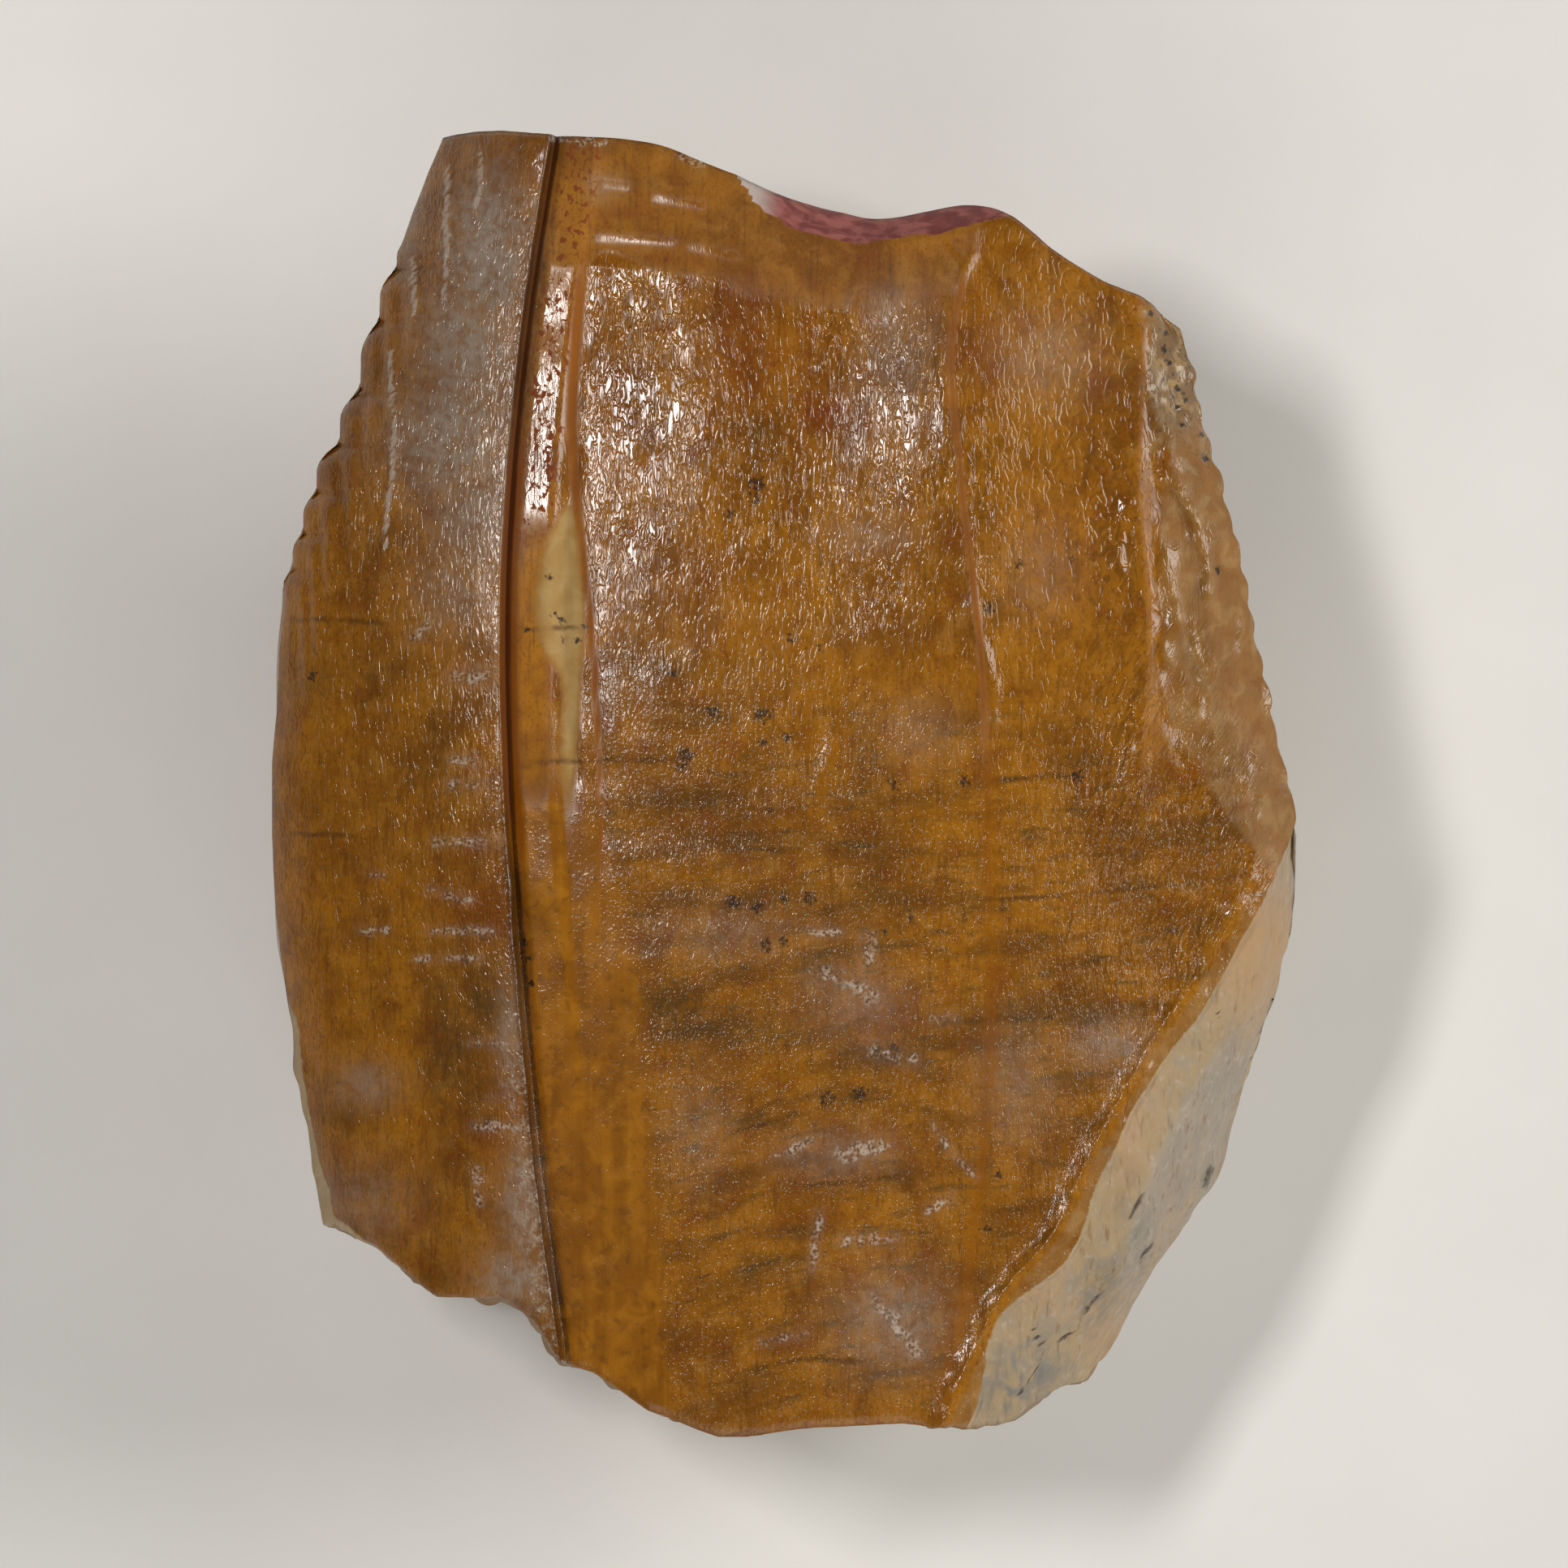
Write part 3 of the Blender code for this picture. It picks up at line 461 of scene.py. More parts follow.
# Crumbly pale scuffs, and dark stains on the dentine: width and (x, y) path of each
SCUFFS = [
    (0.19, [(1.54, -2.78), (1.54, -3.36)]), (0.22, [(1.26, -3.66), (1.64, -3.93)]),
    (0.13, [(0.51, -2.73), (1.02, -2.73)]), (0.21, [(0.51, -3.50), (0.97, -3.50)]),
    (0.14, [(2.79, -4.30), (3.14, -4.30)]), (0.21, [(1.60, -4.86), (2.39, -5.07)]),
    (0.24, [(1.08, -6.80), (1.82, -6.58)]), (0.16, [(2.67, -7.82), (3.02, -7.59)]),
    (0.10, [(2.73, -6.22), (3.08, -6.78), (3.54, -7.22)]), (0.16, [(1.08, -8.38), (2.05, -8.35)]),
    (0.13, [(0.66, -7.85), (0.51, -8.89)]), (0.13, [(-0.09, -6.80), (0.51, -6.50)]),
    (0.21, [(1.70, -9.49), (2.45, -10.39)]), (0.13, [(-0.39, -10.24), (0.36, -10.09)]),
    (0.13, [(-6.89, 2.62), (-6.52, 2.94)]), (0.18, [(-6.07, 1.97), (-5.44, 1.97)]),
    (0.13, [(-6.07, 0.45), (-5.69, 0.37)]), (0.13, [(-6.14, 0.00), (-5.62, 0.00)]),
    (0.11, [(-7.82, -2.69), (-7.28, -2.69)]), (0.11, [(-6.53, -2.69), (-5.35, -2.69)]),
    (0.10, [(-6.78, -3.20), (-5.59, -3.20)]), (0.13, [(-6.44, -1.05), (-5.25, -1.05)]),
    (0.11, [(-6.52, -1.94), (-5.77, -2.14)]), (0.10, [(-5.78, -4.74), (-4.95, -4.74)]),
    (0.11, [(-5.35, -5.74), (-4.99, -5.74)]), (0.13, [(-5.74, -6.28), (-4.95, -6.28)]),
    (0.14, [(-5.63, -7.07), (-5.59, -7.67)]), (0.11, [(-7.56, -1.66), (-7.34, -1.66)]),
    (0.14, [(-4.26, 11.86), (-3.30, 11.78)]), (0.14, [(-1.99, 11.60), (-1.46, 11.40)]),
]
STAINS = [
    (0.045, [(5.86, -9.18), (5.70, -9.45), (5.50, -9.74)]),
    (0.045, [(5.36, -10.04), (5.15, -10.15), (4.99, -10.25)]), (0.045, [(4.63, -10.18), (4.86, -10.18)]),
    (0.04, [(6.37, -8.02), (6.45, -7.75), (6.55, -7.53)]), (0.05, [(7.90, -4.10), (7.97, -4.25)]),
    (0.04, [(6.59, -8.85), (6.75, -8.5), (6.92, -8.17)]),
    (0.09, [(7.95, -7.11), (7.85, -7.28), (7.80, -7.44)]),
    (0.035, [(4.55, -9.9), (4.75, -10.6), (4.3, -11.2)]),
]

# Where the grey outer dentine starts, as (y, x); a pair of numbers is where a mark starts and is full
FLANK_DIVIDE = [(-13.0, 5.6), (-9.86, 6.05), (-9.18, 6.19), (-8.17, 6.32), (-6.89, 6.74), (-5.45, 7.53),
                (-4.0, 8.6)]
FLANK_DIVIDE_EDGE = (-0.10, 0.30)
OUTER_SIDE = (3.0, 4.5)

# Dark lines across the enamel: (x, y) paths from left to right
DARK_LINES = [
    [(-9.30, 3.03), (-8.31, 3.03), (-7.11, 2.93)],
    [(-9.30, -0.90), (-7.71, -0.97)],
    [(-4.99, 2.82), (-3.53, 2.88)],
    [(-4.87, 0.40), (-3.38, 0.43), (-1.58, 0.46)],
    [(3.36, -2.12), (4.51, -2.09), (5.42, -2.03), (6.80, -1.87), (7.26, -1.78)],
    [(2.60, -4.40), (4.74, -4.27)],
    [(3.65, 0.04), (4.84, 0.15), (5.74, 0.19)],
    [(-1.29, -1.20), (0.51, -1.21)],
    [(-1.24, -6.46), (-0.24, -6.20), (0.46, -5.92)],
    [(-0.60, -8.38), (0.57, -8.05)],
    [(-0.09, -7.40), (1.40, -7.28), (2.45, -7.10)],
    [(-1.14, -10.83), (0.36, -10.54), (1.70, -10.60)],
]
LINE_ENDS = 0.5
LINE_NEAR = (0.35, 0.20)
LINE_WOBBLE = 0.16
LINE_WIDTH = 0.09

# Blue-black clusters on the enamel as x, y and reach, and single small specks
CLUSTERS = [
    (-0.51, 5.48, 0.21), (-0.54, 5.19, 0.15), (-0.99, 4.92, 0.18), (-0.93, -2.17, 0.24),
    (-0.49, -2.26, 0.21), (0.46, -2.11, 0.21), (-0.01, -2.08, 0.15), (-0.33, -2.96, 0.21),
    (-0.01, -2.91, 0.15), (3.92, -7.20, 0.15), (3.71, -8.16, 0.13), (-0.39, 1.27, 0.24),
    (0.03, 0.85, 0.18), (-0.39, 0.76, 0.13), (-1.29, 1.32, 0.21), (-1.81, 0.55, 0.27),
    (-1.88, 0.30, 0.15), (0.13, 2.67, 0.15), (0.66, 2.50, 0.12), (3.77, 3.21, 0.18),
    (4.32, 4.03, 0.13), (5.29, 4.11, 0.12), (3.29, 0.03, 0.18), (2.00, 0.00, 0.15),
    (5.36, 0.15, 0.18), (1.40, -5.68, 0.21), (0.81, -5.75, 0.21), (4.84, -4.29, 0.13),
    (-2.03, 2.02, 0.13), (-0.24, -0.45, 0.12), (2.30, -2.47, 0.13), (1.85, -2.69, 0.13),
    (2.00, -4.86, 0.18), (-8.68, 1.99, 0.15),
]
SPECKS = [
    (-4.30, 3.80), (-4.21, 3.11), (-3.65, 2.88), (-3.78, 2.63), (-4.06, 2.99), (-4.03, 2.66), (-4.72, 2.82),
    (7.05, 8.31), (6.72, 8.64), (7.10, 7.76), (7.25, 7.28), (7.25, 6.95), (7.29, 6.58), (7.67, 6.43),
    (7.77, 5.99), (8.02, 3.93), (7.02, 8.00), (7.41, 7.07), (-4.69, -3.21), (-4.75, -2.91), (-4.65, -3.66),
]
SPECK_REACH = 0.085

# The pale streak beside the crest: its (y, x) sides, how each softens, its run up the face, and its tone
LENS_LEFT = [(-1.4, -4.00), (-0.67, -4.06), (0.22, -4.13), (0.97, -4.09), (1.60, -4.06), (2.00, -4.14),
             (2.30, -4.34), (2.70, -4.55), (3.21, -4.62), (3.96, -4.52), (4.48, -4.37), (4.86, -4.17),
             (5.23, -3.95)]
LENS_RIGHT = [(-1.4, -3.95), (-0.67, -3.89), (0.22, -3.81), (0.97, -3.77), (1.72, -3.74), (2.47, -3.68),
              (3.0, -3.65), (4.32, -3.75), (4.86, -3.83), (5.23, -3.90)]
LENS_LEFT_EDGE = (-0.15, 0.20)
LENS_RIGHT_EDGE = (-0.12, 0.14)
LENS_RUN = (-1.6, -1.2, 4.9, 5.4)
LENS_TONE = (-1.4, 1.0, 0.25, 1.0)

# The dull top of the panel: its sides, its ragged border, which drops to the right, and what still glints
PANEL_LEFT = (-0.1, 0.3)
PANEL_RIGHT = (-0.6, 0.6)
TOP_BORDER = (-2.4, 0.6, 9.45, 8.15)
TOP_FULL = 9.70
TOP_RAGGED = (0.32, (0.8, 0.5, 1.0), 41)
TOP_DULLNESS = 0.9
TOP_GLINTS = [
    (0.12, [(-3.35, 11.05), (-2.90, 10.98)]), (0.10, [(-2.35, 10.75), (-1.50, 10.62)]),
    (0.11, [(-3.40, 10.03), (-2.05, 9.95)]), (0.10, [(-1.70, 9.85), (-0.90, 9.70)]),
    (0.14, [(-4.65, 11.6), (-4.55, 10.2)]), (0.10, [(2.95, 9.95), (3.35, 9.45)]),
    (0.12, [(-6.2, 11.4), (-6.2, 9.8)]), (0.10, [(-5.59, 11.6), (-5.66, 10.6)]),
    (0.25, [(-5.2, 10.9), (-5.1, 9.8)]),
]

# The amber band below the streak: from the crest to a (y, x) line, and how its sides and top soften
BAND_RIGHT = [(-11.88, -2.03), (-8.0, -2.32), (-5.01, -2.54), (-3.51, -2.60), (-2.32, -3.0), (-1.12, -3.3),
              (0.22, -3.65), (1.27, -3.98)]
BAND_LEFT_EDGE = (0.22, 0.30)
BAND_RIGHT_EDGE = (-0.25, 0.25)
BAND_TOP = (1.3, -0.3)

# The smooth orange lines: sides and softness, or a width, and the run up the face and the tone of each
CREVICE_LINE = (0.20, 0.34, 0.06)
CREVICE_LINE_RUN = (-1.5, 6.5, 0.8)
CREVICE_LINE_TONE = 0.9
SMOOTH_LINE = [(-13.0, -2.9), (-10.68, -2.93), (-7.25, -3.26), (-4.26, -3.30), (3.06, -3.56), (5.16, -3.80),
               (6.65, -3.89), (8.44, -3.80), (11.43, -3.53)]
SMOOTH_LINE_WIDTH = (3.0, 6.0, 0.05, 0.10)
SMOOTH_LINE_RUN = (-3.0, -1.0, 8.8, 10.2)
SECOND_LINE_WIDTH = (1.6, 0.0, 0.06, 0.145)
SECOND_LINE_TONE = (0.5, 1.6, 0.4, 1.0)
SECOND_LINE_END = (9.6, 9.0)
ORANGE_DULL = (-1.0, 1.0)

# The smooth golden places: beside the streak, on the third ridge, in the channel and on the rim
STREAK_SIDE = (0.30, 0.90, 0.20)
STREAK_SIDE_RUN = (-0.8, 4.7, 0.6)
THIRD_LINE_WIDTH = 0.06
THIRD_LINE_RUN = (-3.0, 1.0, 8.8, 9.4)
THIRD_LINE_TONE = 0.5
CHANNEL_LEFT = (-0.05, 0.12)
CHANNEL_RIGHT = (0.10, -0.25)
CHANNEL_RUN = (-1.0, 1.6, 5.0, 6.8)
CHANNEL_TONE = 0.5
RIM_SIDE = (-0.30, 0.0)
RIM_START = (-1.0, -3.0)
RIM_TONE = 0.45
GOLD_DULL = (-1.0, 0.5)

# The tan margin: its (y, x) left side, the band outside the rim, its corner, and its glossy spots
MARGIN_STRIP = [(-2.4, 9.3), (-1.3, 8.6), (0.4, 7.4), (1.3, 7.0), (3.0, 6.85), (5.0, 6.85), (6.2, 7.0),
                (7.0, 6.7), (8.7, 6.5), (10.0, 6.4)]
MARGIN_EDGE = (-0.08, 0.20)
MARGIN_START = (-2.6, -0.6)
OUTSIDE_RIM = (0.05, 0.25)
OUTSIDE_RIM_TONE = 0.9
MARGIN_DULLNESS = 0.75
MARGIN_SPOTS = ((0.28, 0.42, 0.4), 43)
SPOT_LEVELS = (-0.05, -0.35)
MARGIN_GLOSS = 0.8
CORNER_PLACES = [(7.2, 7.6, 0.75, 1.5, 1.0), (7.7, 5.9, 0.5, 0.9, 0.5)]

# The crevice: its gap's (y, distance) sides and the tones of the shadow painted along its groove, with the
# crest's worn edge and the shelf
GAP_LEFT = [(-12.0, 0.10), (-1.0, 0.08), (0.0, 0.02), (5.0, 0.03), (7.0, 0.08), (12.0, 0.09)]
GAP_RIGHT = [(-12.0, 0.12), (-1.0, 0.13), (0.0, 0.20), (5.0, 0.22), (7.0, 0.17), (12.0, 0.15)]
CREVICE_SHADOW_TONES = [(-12.0, 0.75), (-1.0, 0.8), (0.5, 0.45), (5.5, 0.45), (7.5, 0.9), (12.0, 0.9)]
GAP_SOFTNESS = 0.04
GAP_START = (-2.0, 0.0)
CREVICE_SHADOW_OFFSET = (-1.0, 1.0, 0.02, 0.05)
CREVICE_SHADOW_WIDTH = 0.075
WORN_EDGE_TONE = 0.55
WORN_EDGE_OFFSET = -0.05
WORN_EDGE_WIDTH = 0.05
WORN_EDGE_RUN = (-2.3, 5.0, 1.0)
HAZY_STRIP = (-0.9, -0.1, 0.0, 0.05)
HAZY_START = (-3.0, -6.0)
HAZY_TONE = 0.6
SHELF = (0.30, 1.00, 0.06)
SHELF_RUN = (4.6, 12.0, 0.5)

# Where the enamel ends: at its foot, at the sliver along the lower left edge, and down the wall
ENAMEL_END = (-0.06, 0.08)
LEFT_SLIVER = [(0.10, [(-9.06, -4.3), (-8.76, -6.5), (-8.36, -8.0), (-7.80, -8.38)])]
SLIVER_TONE = 0.8
SLIVER_WIDTH = 0.12
SLIVER_EDGE = (-0.06, 0.06)
SLIVER_START = (-3.6, -4.6)
SLIVER_SIDE = (0.0, -1.0)
WRAP_START = 0.8
WRAP_END = 1.3

# How smooth each kind of enamel is, and how strong the wrinkles and growth bands are elsewhere
SMOOTHNESS = {"orange": 1.0, "lens": 0.9, "band": 0.75, "crevice": 1.0, "shelf": 0.8, "golden": 0.8}
WRINKLING_LEFT = 0.45
WRINKLING_RIGHT = 0.35
WRINKLING_POLISHED = 0.70
WRINKLING_OUTER = 0.25
WRINKLING_OUTER_FROM = (3.6, 6.0)
WRINKLING_TOP = 0.7
BANDING_FROM = (3.5, -1.0)
BANDING_LEFT = 0.3

# How the wrinkles lean at the right, by a share of y
LEAN_START = (3.8, 7.8)
LEAN_REACH = (-3.0, 3.0)
LEAN = 0.45

# Zones of the surface by depth, how far marks reach down the wall, and how the growth bands rise and tilt
FACE_DEPTH = 0.06
ZONE_EDGE = 0.25
ENAMEL_WRAP = 0.07
ENAMEL_AT_BREAKS = 0.016
TINT_REACH = (0.0, 0.25, 1.0, 0.15)
STAIN_REACH = (0.15, 0.0)
CHIP_EDGE = (0.0, 0.06)
CHIP_REACH = (0.08, 0.02)
STAINED_SIDE = (-0.5, -2.0)
STAINED_REACH = (0.8, 0.5)
GROWTH_RISE = 0.80
GROWTH_RISE_AT = (-2.8, 1.6)
GROWTH_RISE_BELOW = (1.0, -4.0)
GROWTH_TILT = 0.06

# Depths of the relief finer than the mesh, and how rough each kind of surface is
WRINKLE_DEPTH = 0.009
FOLD_WIDTH = 0.14
PIT_DEPTH = 0.006
BRUSHED_DEPTH = 0.002
GRANULE_DEPTH = 0.034
POLISHED_ROUGHNESS = 0.13
WORN_ROUGHNESS = 0.18
MATT_ROUGHNESS = 0.88
DENTINE_ROUGHNESS = 0.62
POLISH_FULL = 0.8
FLOOR_ROUGHNESS = 0.9
ENAMEL_IOR = 1.40

# Studio: the photo looks straight down; its frame is 1932 pixels for a crown of 1606 pixels
PHOTO_PIXELS = 1932
CROWN_PIXELS = 1606
CROWN_LENGTH = 24.0
CAMERA_LENS = 350.0
CAMERA_SENSOR = 36.0
CAMERA_REACH = (0.01, 10.0)
MARGIN_LEVEL = 7.5
FLOOR_REACH = 1.5
FLOOR_GAP = 0.03
FLOOR_MOTTLE = 300.0
FLOOR_PALE = (0.80, 0.79, 0.77, 1.0)
FLOOR_DARK = (0.74, 0.73, 0.71, 1.0)
ROOM_LIGHT = 0.09
ROOM_COLOUR = (1.0, 0.99, 0.97, 1.0)

# Each light: name, place and size in metres, watts and colour
LIGHT_TARGET = (0.0, 0.0, 0.005)
SOFTBOXES = [
    ("key", (-0.094, 0.048, 0.250), (0.052, 0.030), 0.29, (1.0, 0.96, 0.93)),
    ("right_fill", (0.40, 0.10, 0.24), (0.22, 0.22), 1.62, (1.0, 0.98, 0.93)),
    ("low_fill", (0.02, -0.42, 0.24), (0.45, 0.45), 1.05, (1.0, 0.98, 0.93)),
]


def curve(points, at):
    """The smooth line through points, read at each of the values."""
    knots = np.array(points)
    slopes = np.gradient(knots[:, 1], knots[:, 0])
    place = np.clip(np.searchsorted(knots[:, 0], at) - 1, 0, len(knots) - 2)
    start, end = knots[place], knots[place + 1]
    gap = end[..., 0] - start[..., 0]
    t = np.clip((at - start[..., 0]) / gap, 0.0, 1.0)
    level = (2 * t + 1) * (1 - t) ** 2 * start[..., 1] + (3 - 2 * t) * t**2 * end[..., 1]
    bend = t * (1 - t) ** 2 * slopes[place] - (1 - t) * t**2 * slopes[place + 1]
    return level + gap * bend


def broken_line(points, at):
    """The straight-sided line through points, read at each of the values."""
    places, heights = np.transpose(points)
    return np.interp(at, places, heights)


def ramp(value, start, end):
    """0 before start, 1 past end and smooth between them; start may be the larger."""
    t = np.clip((value - start) / (end - start), 0.0, 1.0)
    return t * t * (3.0 - 2.0 * t)


def stretch(value, start, full_from, full_to, end):
    """1 from full_from to full_to, falling smoothly to 0 at start and at end."""
    return ramp(value, start, full_from) * ramp(value, end, full_to)


def between(value, low, high, softness):
    """1 from low to high and 0 outside, with soft ends."""
    return stretch(value, low - softness, low + softness, high - softness, high + softness)


def eased(value, start, end, at_start, at_end):
    """A level that goes smoothly from at_start to at_end while value goes from start to end."""
    return at_start + (at_end - at_start) * ramp(value, start, end)


def swell(distance, width):
    """A rounded ridge's profile: 1 on its line and 0 a few widths away."""
    return np.exp(-((distance / width) ** 2))


def stroke(x, y, path, width):
    """1 on a path of (x, y) points, falling to 0 a few widths beside it."""
    nearest = np.full(np.shape(x), np.inf)
    for start, end in zip(path, path[1:]):
        run, rise = end[0] - start[0], end[1] - start[1]
        share = np.clip(((x - start[0]) * run + (y - start[1]) * rise) / (run**2 + rise**2), 0.0, 1.0)
        nearest = np.minimum(nearest, np.hypot(x - start[0] - share * run, y - start[1] - share * rise))
    return swell(nearest, width)


def strokes(x, y, marks):
    """The strongest of several strokes, each a width and a path."""
    strength = np.zeros(np.shape(x))
    for width, path in marks:
        strength = np.maximum(strength, stroke(x, y, path, width))
    return strength


def noise(places, grain, seed):
    """Smooth noise from -1 to 1 at places, with lumps of the grain's size along X, Y and Z."""
    table = np.random.default_rng(seed).uniform(-1.0, 1.0, (LATTICE,) * 3)
    cells = places / np.array(grain)
    corner = np.floor(cells).astype(int)
    share = cells - corner
    share = share * share * (3.0 - 2.0 * share)
    total = np.zeros(places.shape[:-1])
    for step in itertools.product((0, 1), repeat=3):
        weight = np.prod(np.where(np.array(step) == 1, share, 1.0 - share), axis=-1)
        total += weight * table[tuple(np.moveaxis((corner + step) % LATTICE, -1, 0))]
    return total


def rough(places, relief):
    """Noise of a relief, its height, grain and seed, with a finer layer at half the size and height."""
    height, grain_size, seed = relief
    finer = noise(places, np.array(grain_size) / 2, seed + 1)
    return height * (noise(places, grain_size, seed) + 0.5 * finer)


def denticle_at(y):
    """For each height, the notches below and above it, and how far down its lobe it is, from 0 to 1."""
    notches = np.array(NOTCHES)
    place = np.clip(np.searchsorted(notches[:, 0], y) - 1, 0, len(notches) - 2)
    below, above = notches[place], notches[place + 1]
    down = np.clip((above[..., 0] - y) / (above[..., 0] - below[..., 0]), 0.0, 1.0)
    return below, above, down


def left_edge(y):
    """The face's left margin, with its denticles."""
    below, above, down = denticle_at(y)
    out = 1.0 - (1.0 - np.clip(down / DENTICLE_SHOULDER, 0.0, 1.0)) ** 2
    lobes = above[..., 1] + (below[..., 1] - above[..., 1]) * out
    lowest, highest = NOTCHES[0][0], NOTCHES[-1][0]
    plain = np.where(y <= lowest, curve(LEFT_SIDE, y), curve(LEFT_TIP, y))
    return np.where((y > lowest) & (y < highest), lobes, plain)


def left_side(y):
    """The left side behind the denticles."""
    return curve(LEFT_SIDE[:-1] + NOTCHES + LEFT_TIP[1:], y)


def right_side(y):
    """The right side behind the beads."""
    return curve(RIGHT_SIDE, y)


def right_edge(y):
    """The face's right margin, with its low beads."""
    beads = np.abs(np.sin(np.pi * y / BEAD_PITCH)) - 1.0
    return right_side(y) + BEAD_SIZE * beads * ramp(y, *BEAD_FADE)


def face_lines(y):
    """The lines that the mesh follows on the face at height y, from left to right."""
    right = right_edge(y)
    crest = curve(CREST, y)
    foot = np.minimum(curve(ENAMEL_FOOT, y), right - FOOT_ROOM)
    rim = np.minimum(curve(RIM, y), foot - RIM_ROOM)
    third = np.minimum(curve(RIDGE_THREE, y), rim - RIDGE_THREE_ROOM)
    second = np.minimum(curve(RIDGE_TWO, y), third - RIDGE_TWO_ROOM)
    return [
        left_edge(y),
        left_side(y) + DENTICLE_REACH,
        crest - STEP_WIDTH,
        crest,
        crest + CREVICE_OFFSET,
        crest + CORD_OFFSET,
        curve(PALE_LINE, y),
        second - RIDGE_FOOT,
        second,
        second + RIDGE_FOOT,
        third - RIDGE_FOOT,
        third,
        third + RIDGE_FOOT,
        rim,
        foot,
        right,
    ]


def primary_ridge(x, y):
    """The climb to the crest, the step down, the crevice, and the cord that runs beside it."""
    crest = curve(CREST, y)
    past = x - crest
    climb = ramp(x, left_side(y), crest) * ramp(past, STEP_WIDTH, 0.0)
    crevice = swell(past - CREVICE_OFFSET, CREVICE_WIDTH)
    cord = stretch(past, *CORD_SPAN) * ramp(y, *CORD_FADE)
    return STEP_HEIGHT * climb - CREVICE_DEPTH * crevice + CORD_HEIGHT * cord


def secondary_ridges(x, y):
    """Two low ridges, each with a narrow smooth line on it, that fade out towards the base."""
    second_strength = eased(y, *RIDGE_TWO_FADE, RIDGE_TWO_FAINTEST, 1.0)
    relief = np.zeros(np.shape(x))
    for line, strength in ((RIDGE_TWO, second_strength), (RIDGE_THREE, ramp(y, *RIDGE_THREE_FADE))):
        for height, width in (RIDGE_SWELL, RIDGE_LINE):
            relief = relief + height * swell(x - curve(line, y), width) * strength
    return relief


def channel_and_rim(x, y):
    """The channel right of the last ridge, and the rolled rim that closes it at the lower right."""
    rim = curve(RIM, y)
    ridge = curve(RIDGE_THREE, y)
    middle = ridge + np.maximum(rim - ridge, CHANNEL_NARROWEST) * CHANNEL_MIDDLE
    channel = stretch(x, ridge, middle, middle, middle + CHANNEL_BANK) * stretch(y, *CHANNEL_ENDS)
    crest_height, crest_width = RIM_CREST
    roll = RIM_HEIGHT * swell(x - rim, RIM_WIDTH) + crest_height * swell(x - rim, crest_width)
    return roll * eased(y, *RIM_FADE, RIM_FAINTEST, 1.0) - CHANNEL_DEPTH * channel


def flank(x, y):
    """How far the dentine past the enamel's foot drops away."""
    foot = curve(ENAMEL_FOOT, y)
    width = right_edge(y) - foot
    past_foot = np.clip((x - foot) / np.maximum(width, ENAMEL_STEP), 0.0, 1.0)
    drop = FLANK_DROP * np.clip(width / FLANK_WIDTH, 0.0, 1.0)
    rounded = 1.0 - np.sqrt(1.0 - FLANK_ROUNDING * past_foot**2)
    return ENAMEL_THICKNESS * ramp(x - foot, 0.0, ENAMEL_STEP) + drop * rounded


def margins(x, y):
    """The face rolling over at both sides, and the denticles' shingled relief."""
    near_left = 1.0 - np.clip((x - left_edge(y)) / DENTICLE_REACH, 0.0, 1.0)
    near_right = 1.0 - np.clip((right_edge(y) - x) / MARGIN_WIDTH, 0.0, 1.0)
    down = denticle_at(y)[2]
    highest = NOTCHES[-1][0]
    strength = stretch(y, NOTCHES[0][0], NOTCHES[2][0], highest, highest + DENTICLE_END)
    lobes = DENTICLE_RELIEF * (down - 0.5) * near_left * strength
    return lobes - MARGIN_ROLL * (near_left**2 + near_right**2)


def face_form(x, y):
    """Height of the face's broad curve, with its margins and the flank beside it."""
    fall_across = np.where(x < 0.0, FALL_LEFT, FALL_RIGHT) * np.abs(x / HALF_WIDTH) ** FALL_POWER
    fall_along = np.where(y > 0.0, FALL_TIP, FALL_BASE) * (y / HALF_LENGTH) ** 2
    return FACE_HEIGHT - fall_across - fall_along + margins(x, y) - flank(x, y)


def ribs(x, y):
    """Grooves and ribs that run down the face from each notch between denticles."""
    relief = np.zeros(np.shape(x))
    for notch_y, notch_x in NOTCHES[1:]:
        below = notch_y - y
        beside = x - notch_x - RIB_LEAN * below
        groove = RIB_GROOVE * swell(beside, RIB_WIDTH)
        rib = RIB_HEIGHT * swell(beside - RIB_OFFSET, RIB_WIDTH)
        relief = relief + (rib - groove) * stretch(below, *RIB_RUN)
    return relief


def fine_relief(x, y):
    """Ribs, raised and sunken lines, bumps and swells that are too fine for the solid."""
    share, share_grain, share_seed = RAISED_UNEVENNESS
    wander, wander_grain, wander_seed = RAISED_WANDER
    places = np.stack([x, y, np.zeros(np.shape(x))], axis=-1)
    uneven = 1.0 + share * noise(places, share_grain, share_seed)
    sideways = wander * noise(places, wander_grain, wander_seed)
    relief = ribs(x, y)
    for height, width, path in RAISED:
        relief = relief + height * stroke(x + sideways, y + sideways, path, width) * uneven
    for height, centre, reach in BUMPS:
        relief = relief + height * swell(np.hypot(x - centre[0], y - centre[1]), reach)
    for height, centre, reach in BROAD_SWELLS:
        distance = np.hypot((x - centre[0]) / reach[0], (y - centre[1]) / reach[1])
        relief = relief + height * swell(distance, 1.0)
    sink, sink_width = LINE_SINK
    return relief - sink * swell(x - curve(SMOOTH_LINE, y), sink_width) * ramp(y, *LINE_SINK_FADE)


def face_relief(x, y):
    """What stands above or below the face's broad curve."""
    chip = CHIP_SLOPE * np.maximum(y - broken_line(CHIP_ARC, x), 0.0)
    return primary_ridge(x, y) + secondary_ridges(x, y) + channel_and_rim(x, y) + fine_relief(x, y) - chip


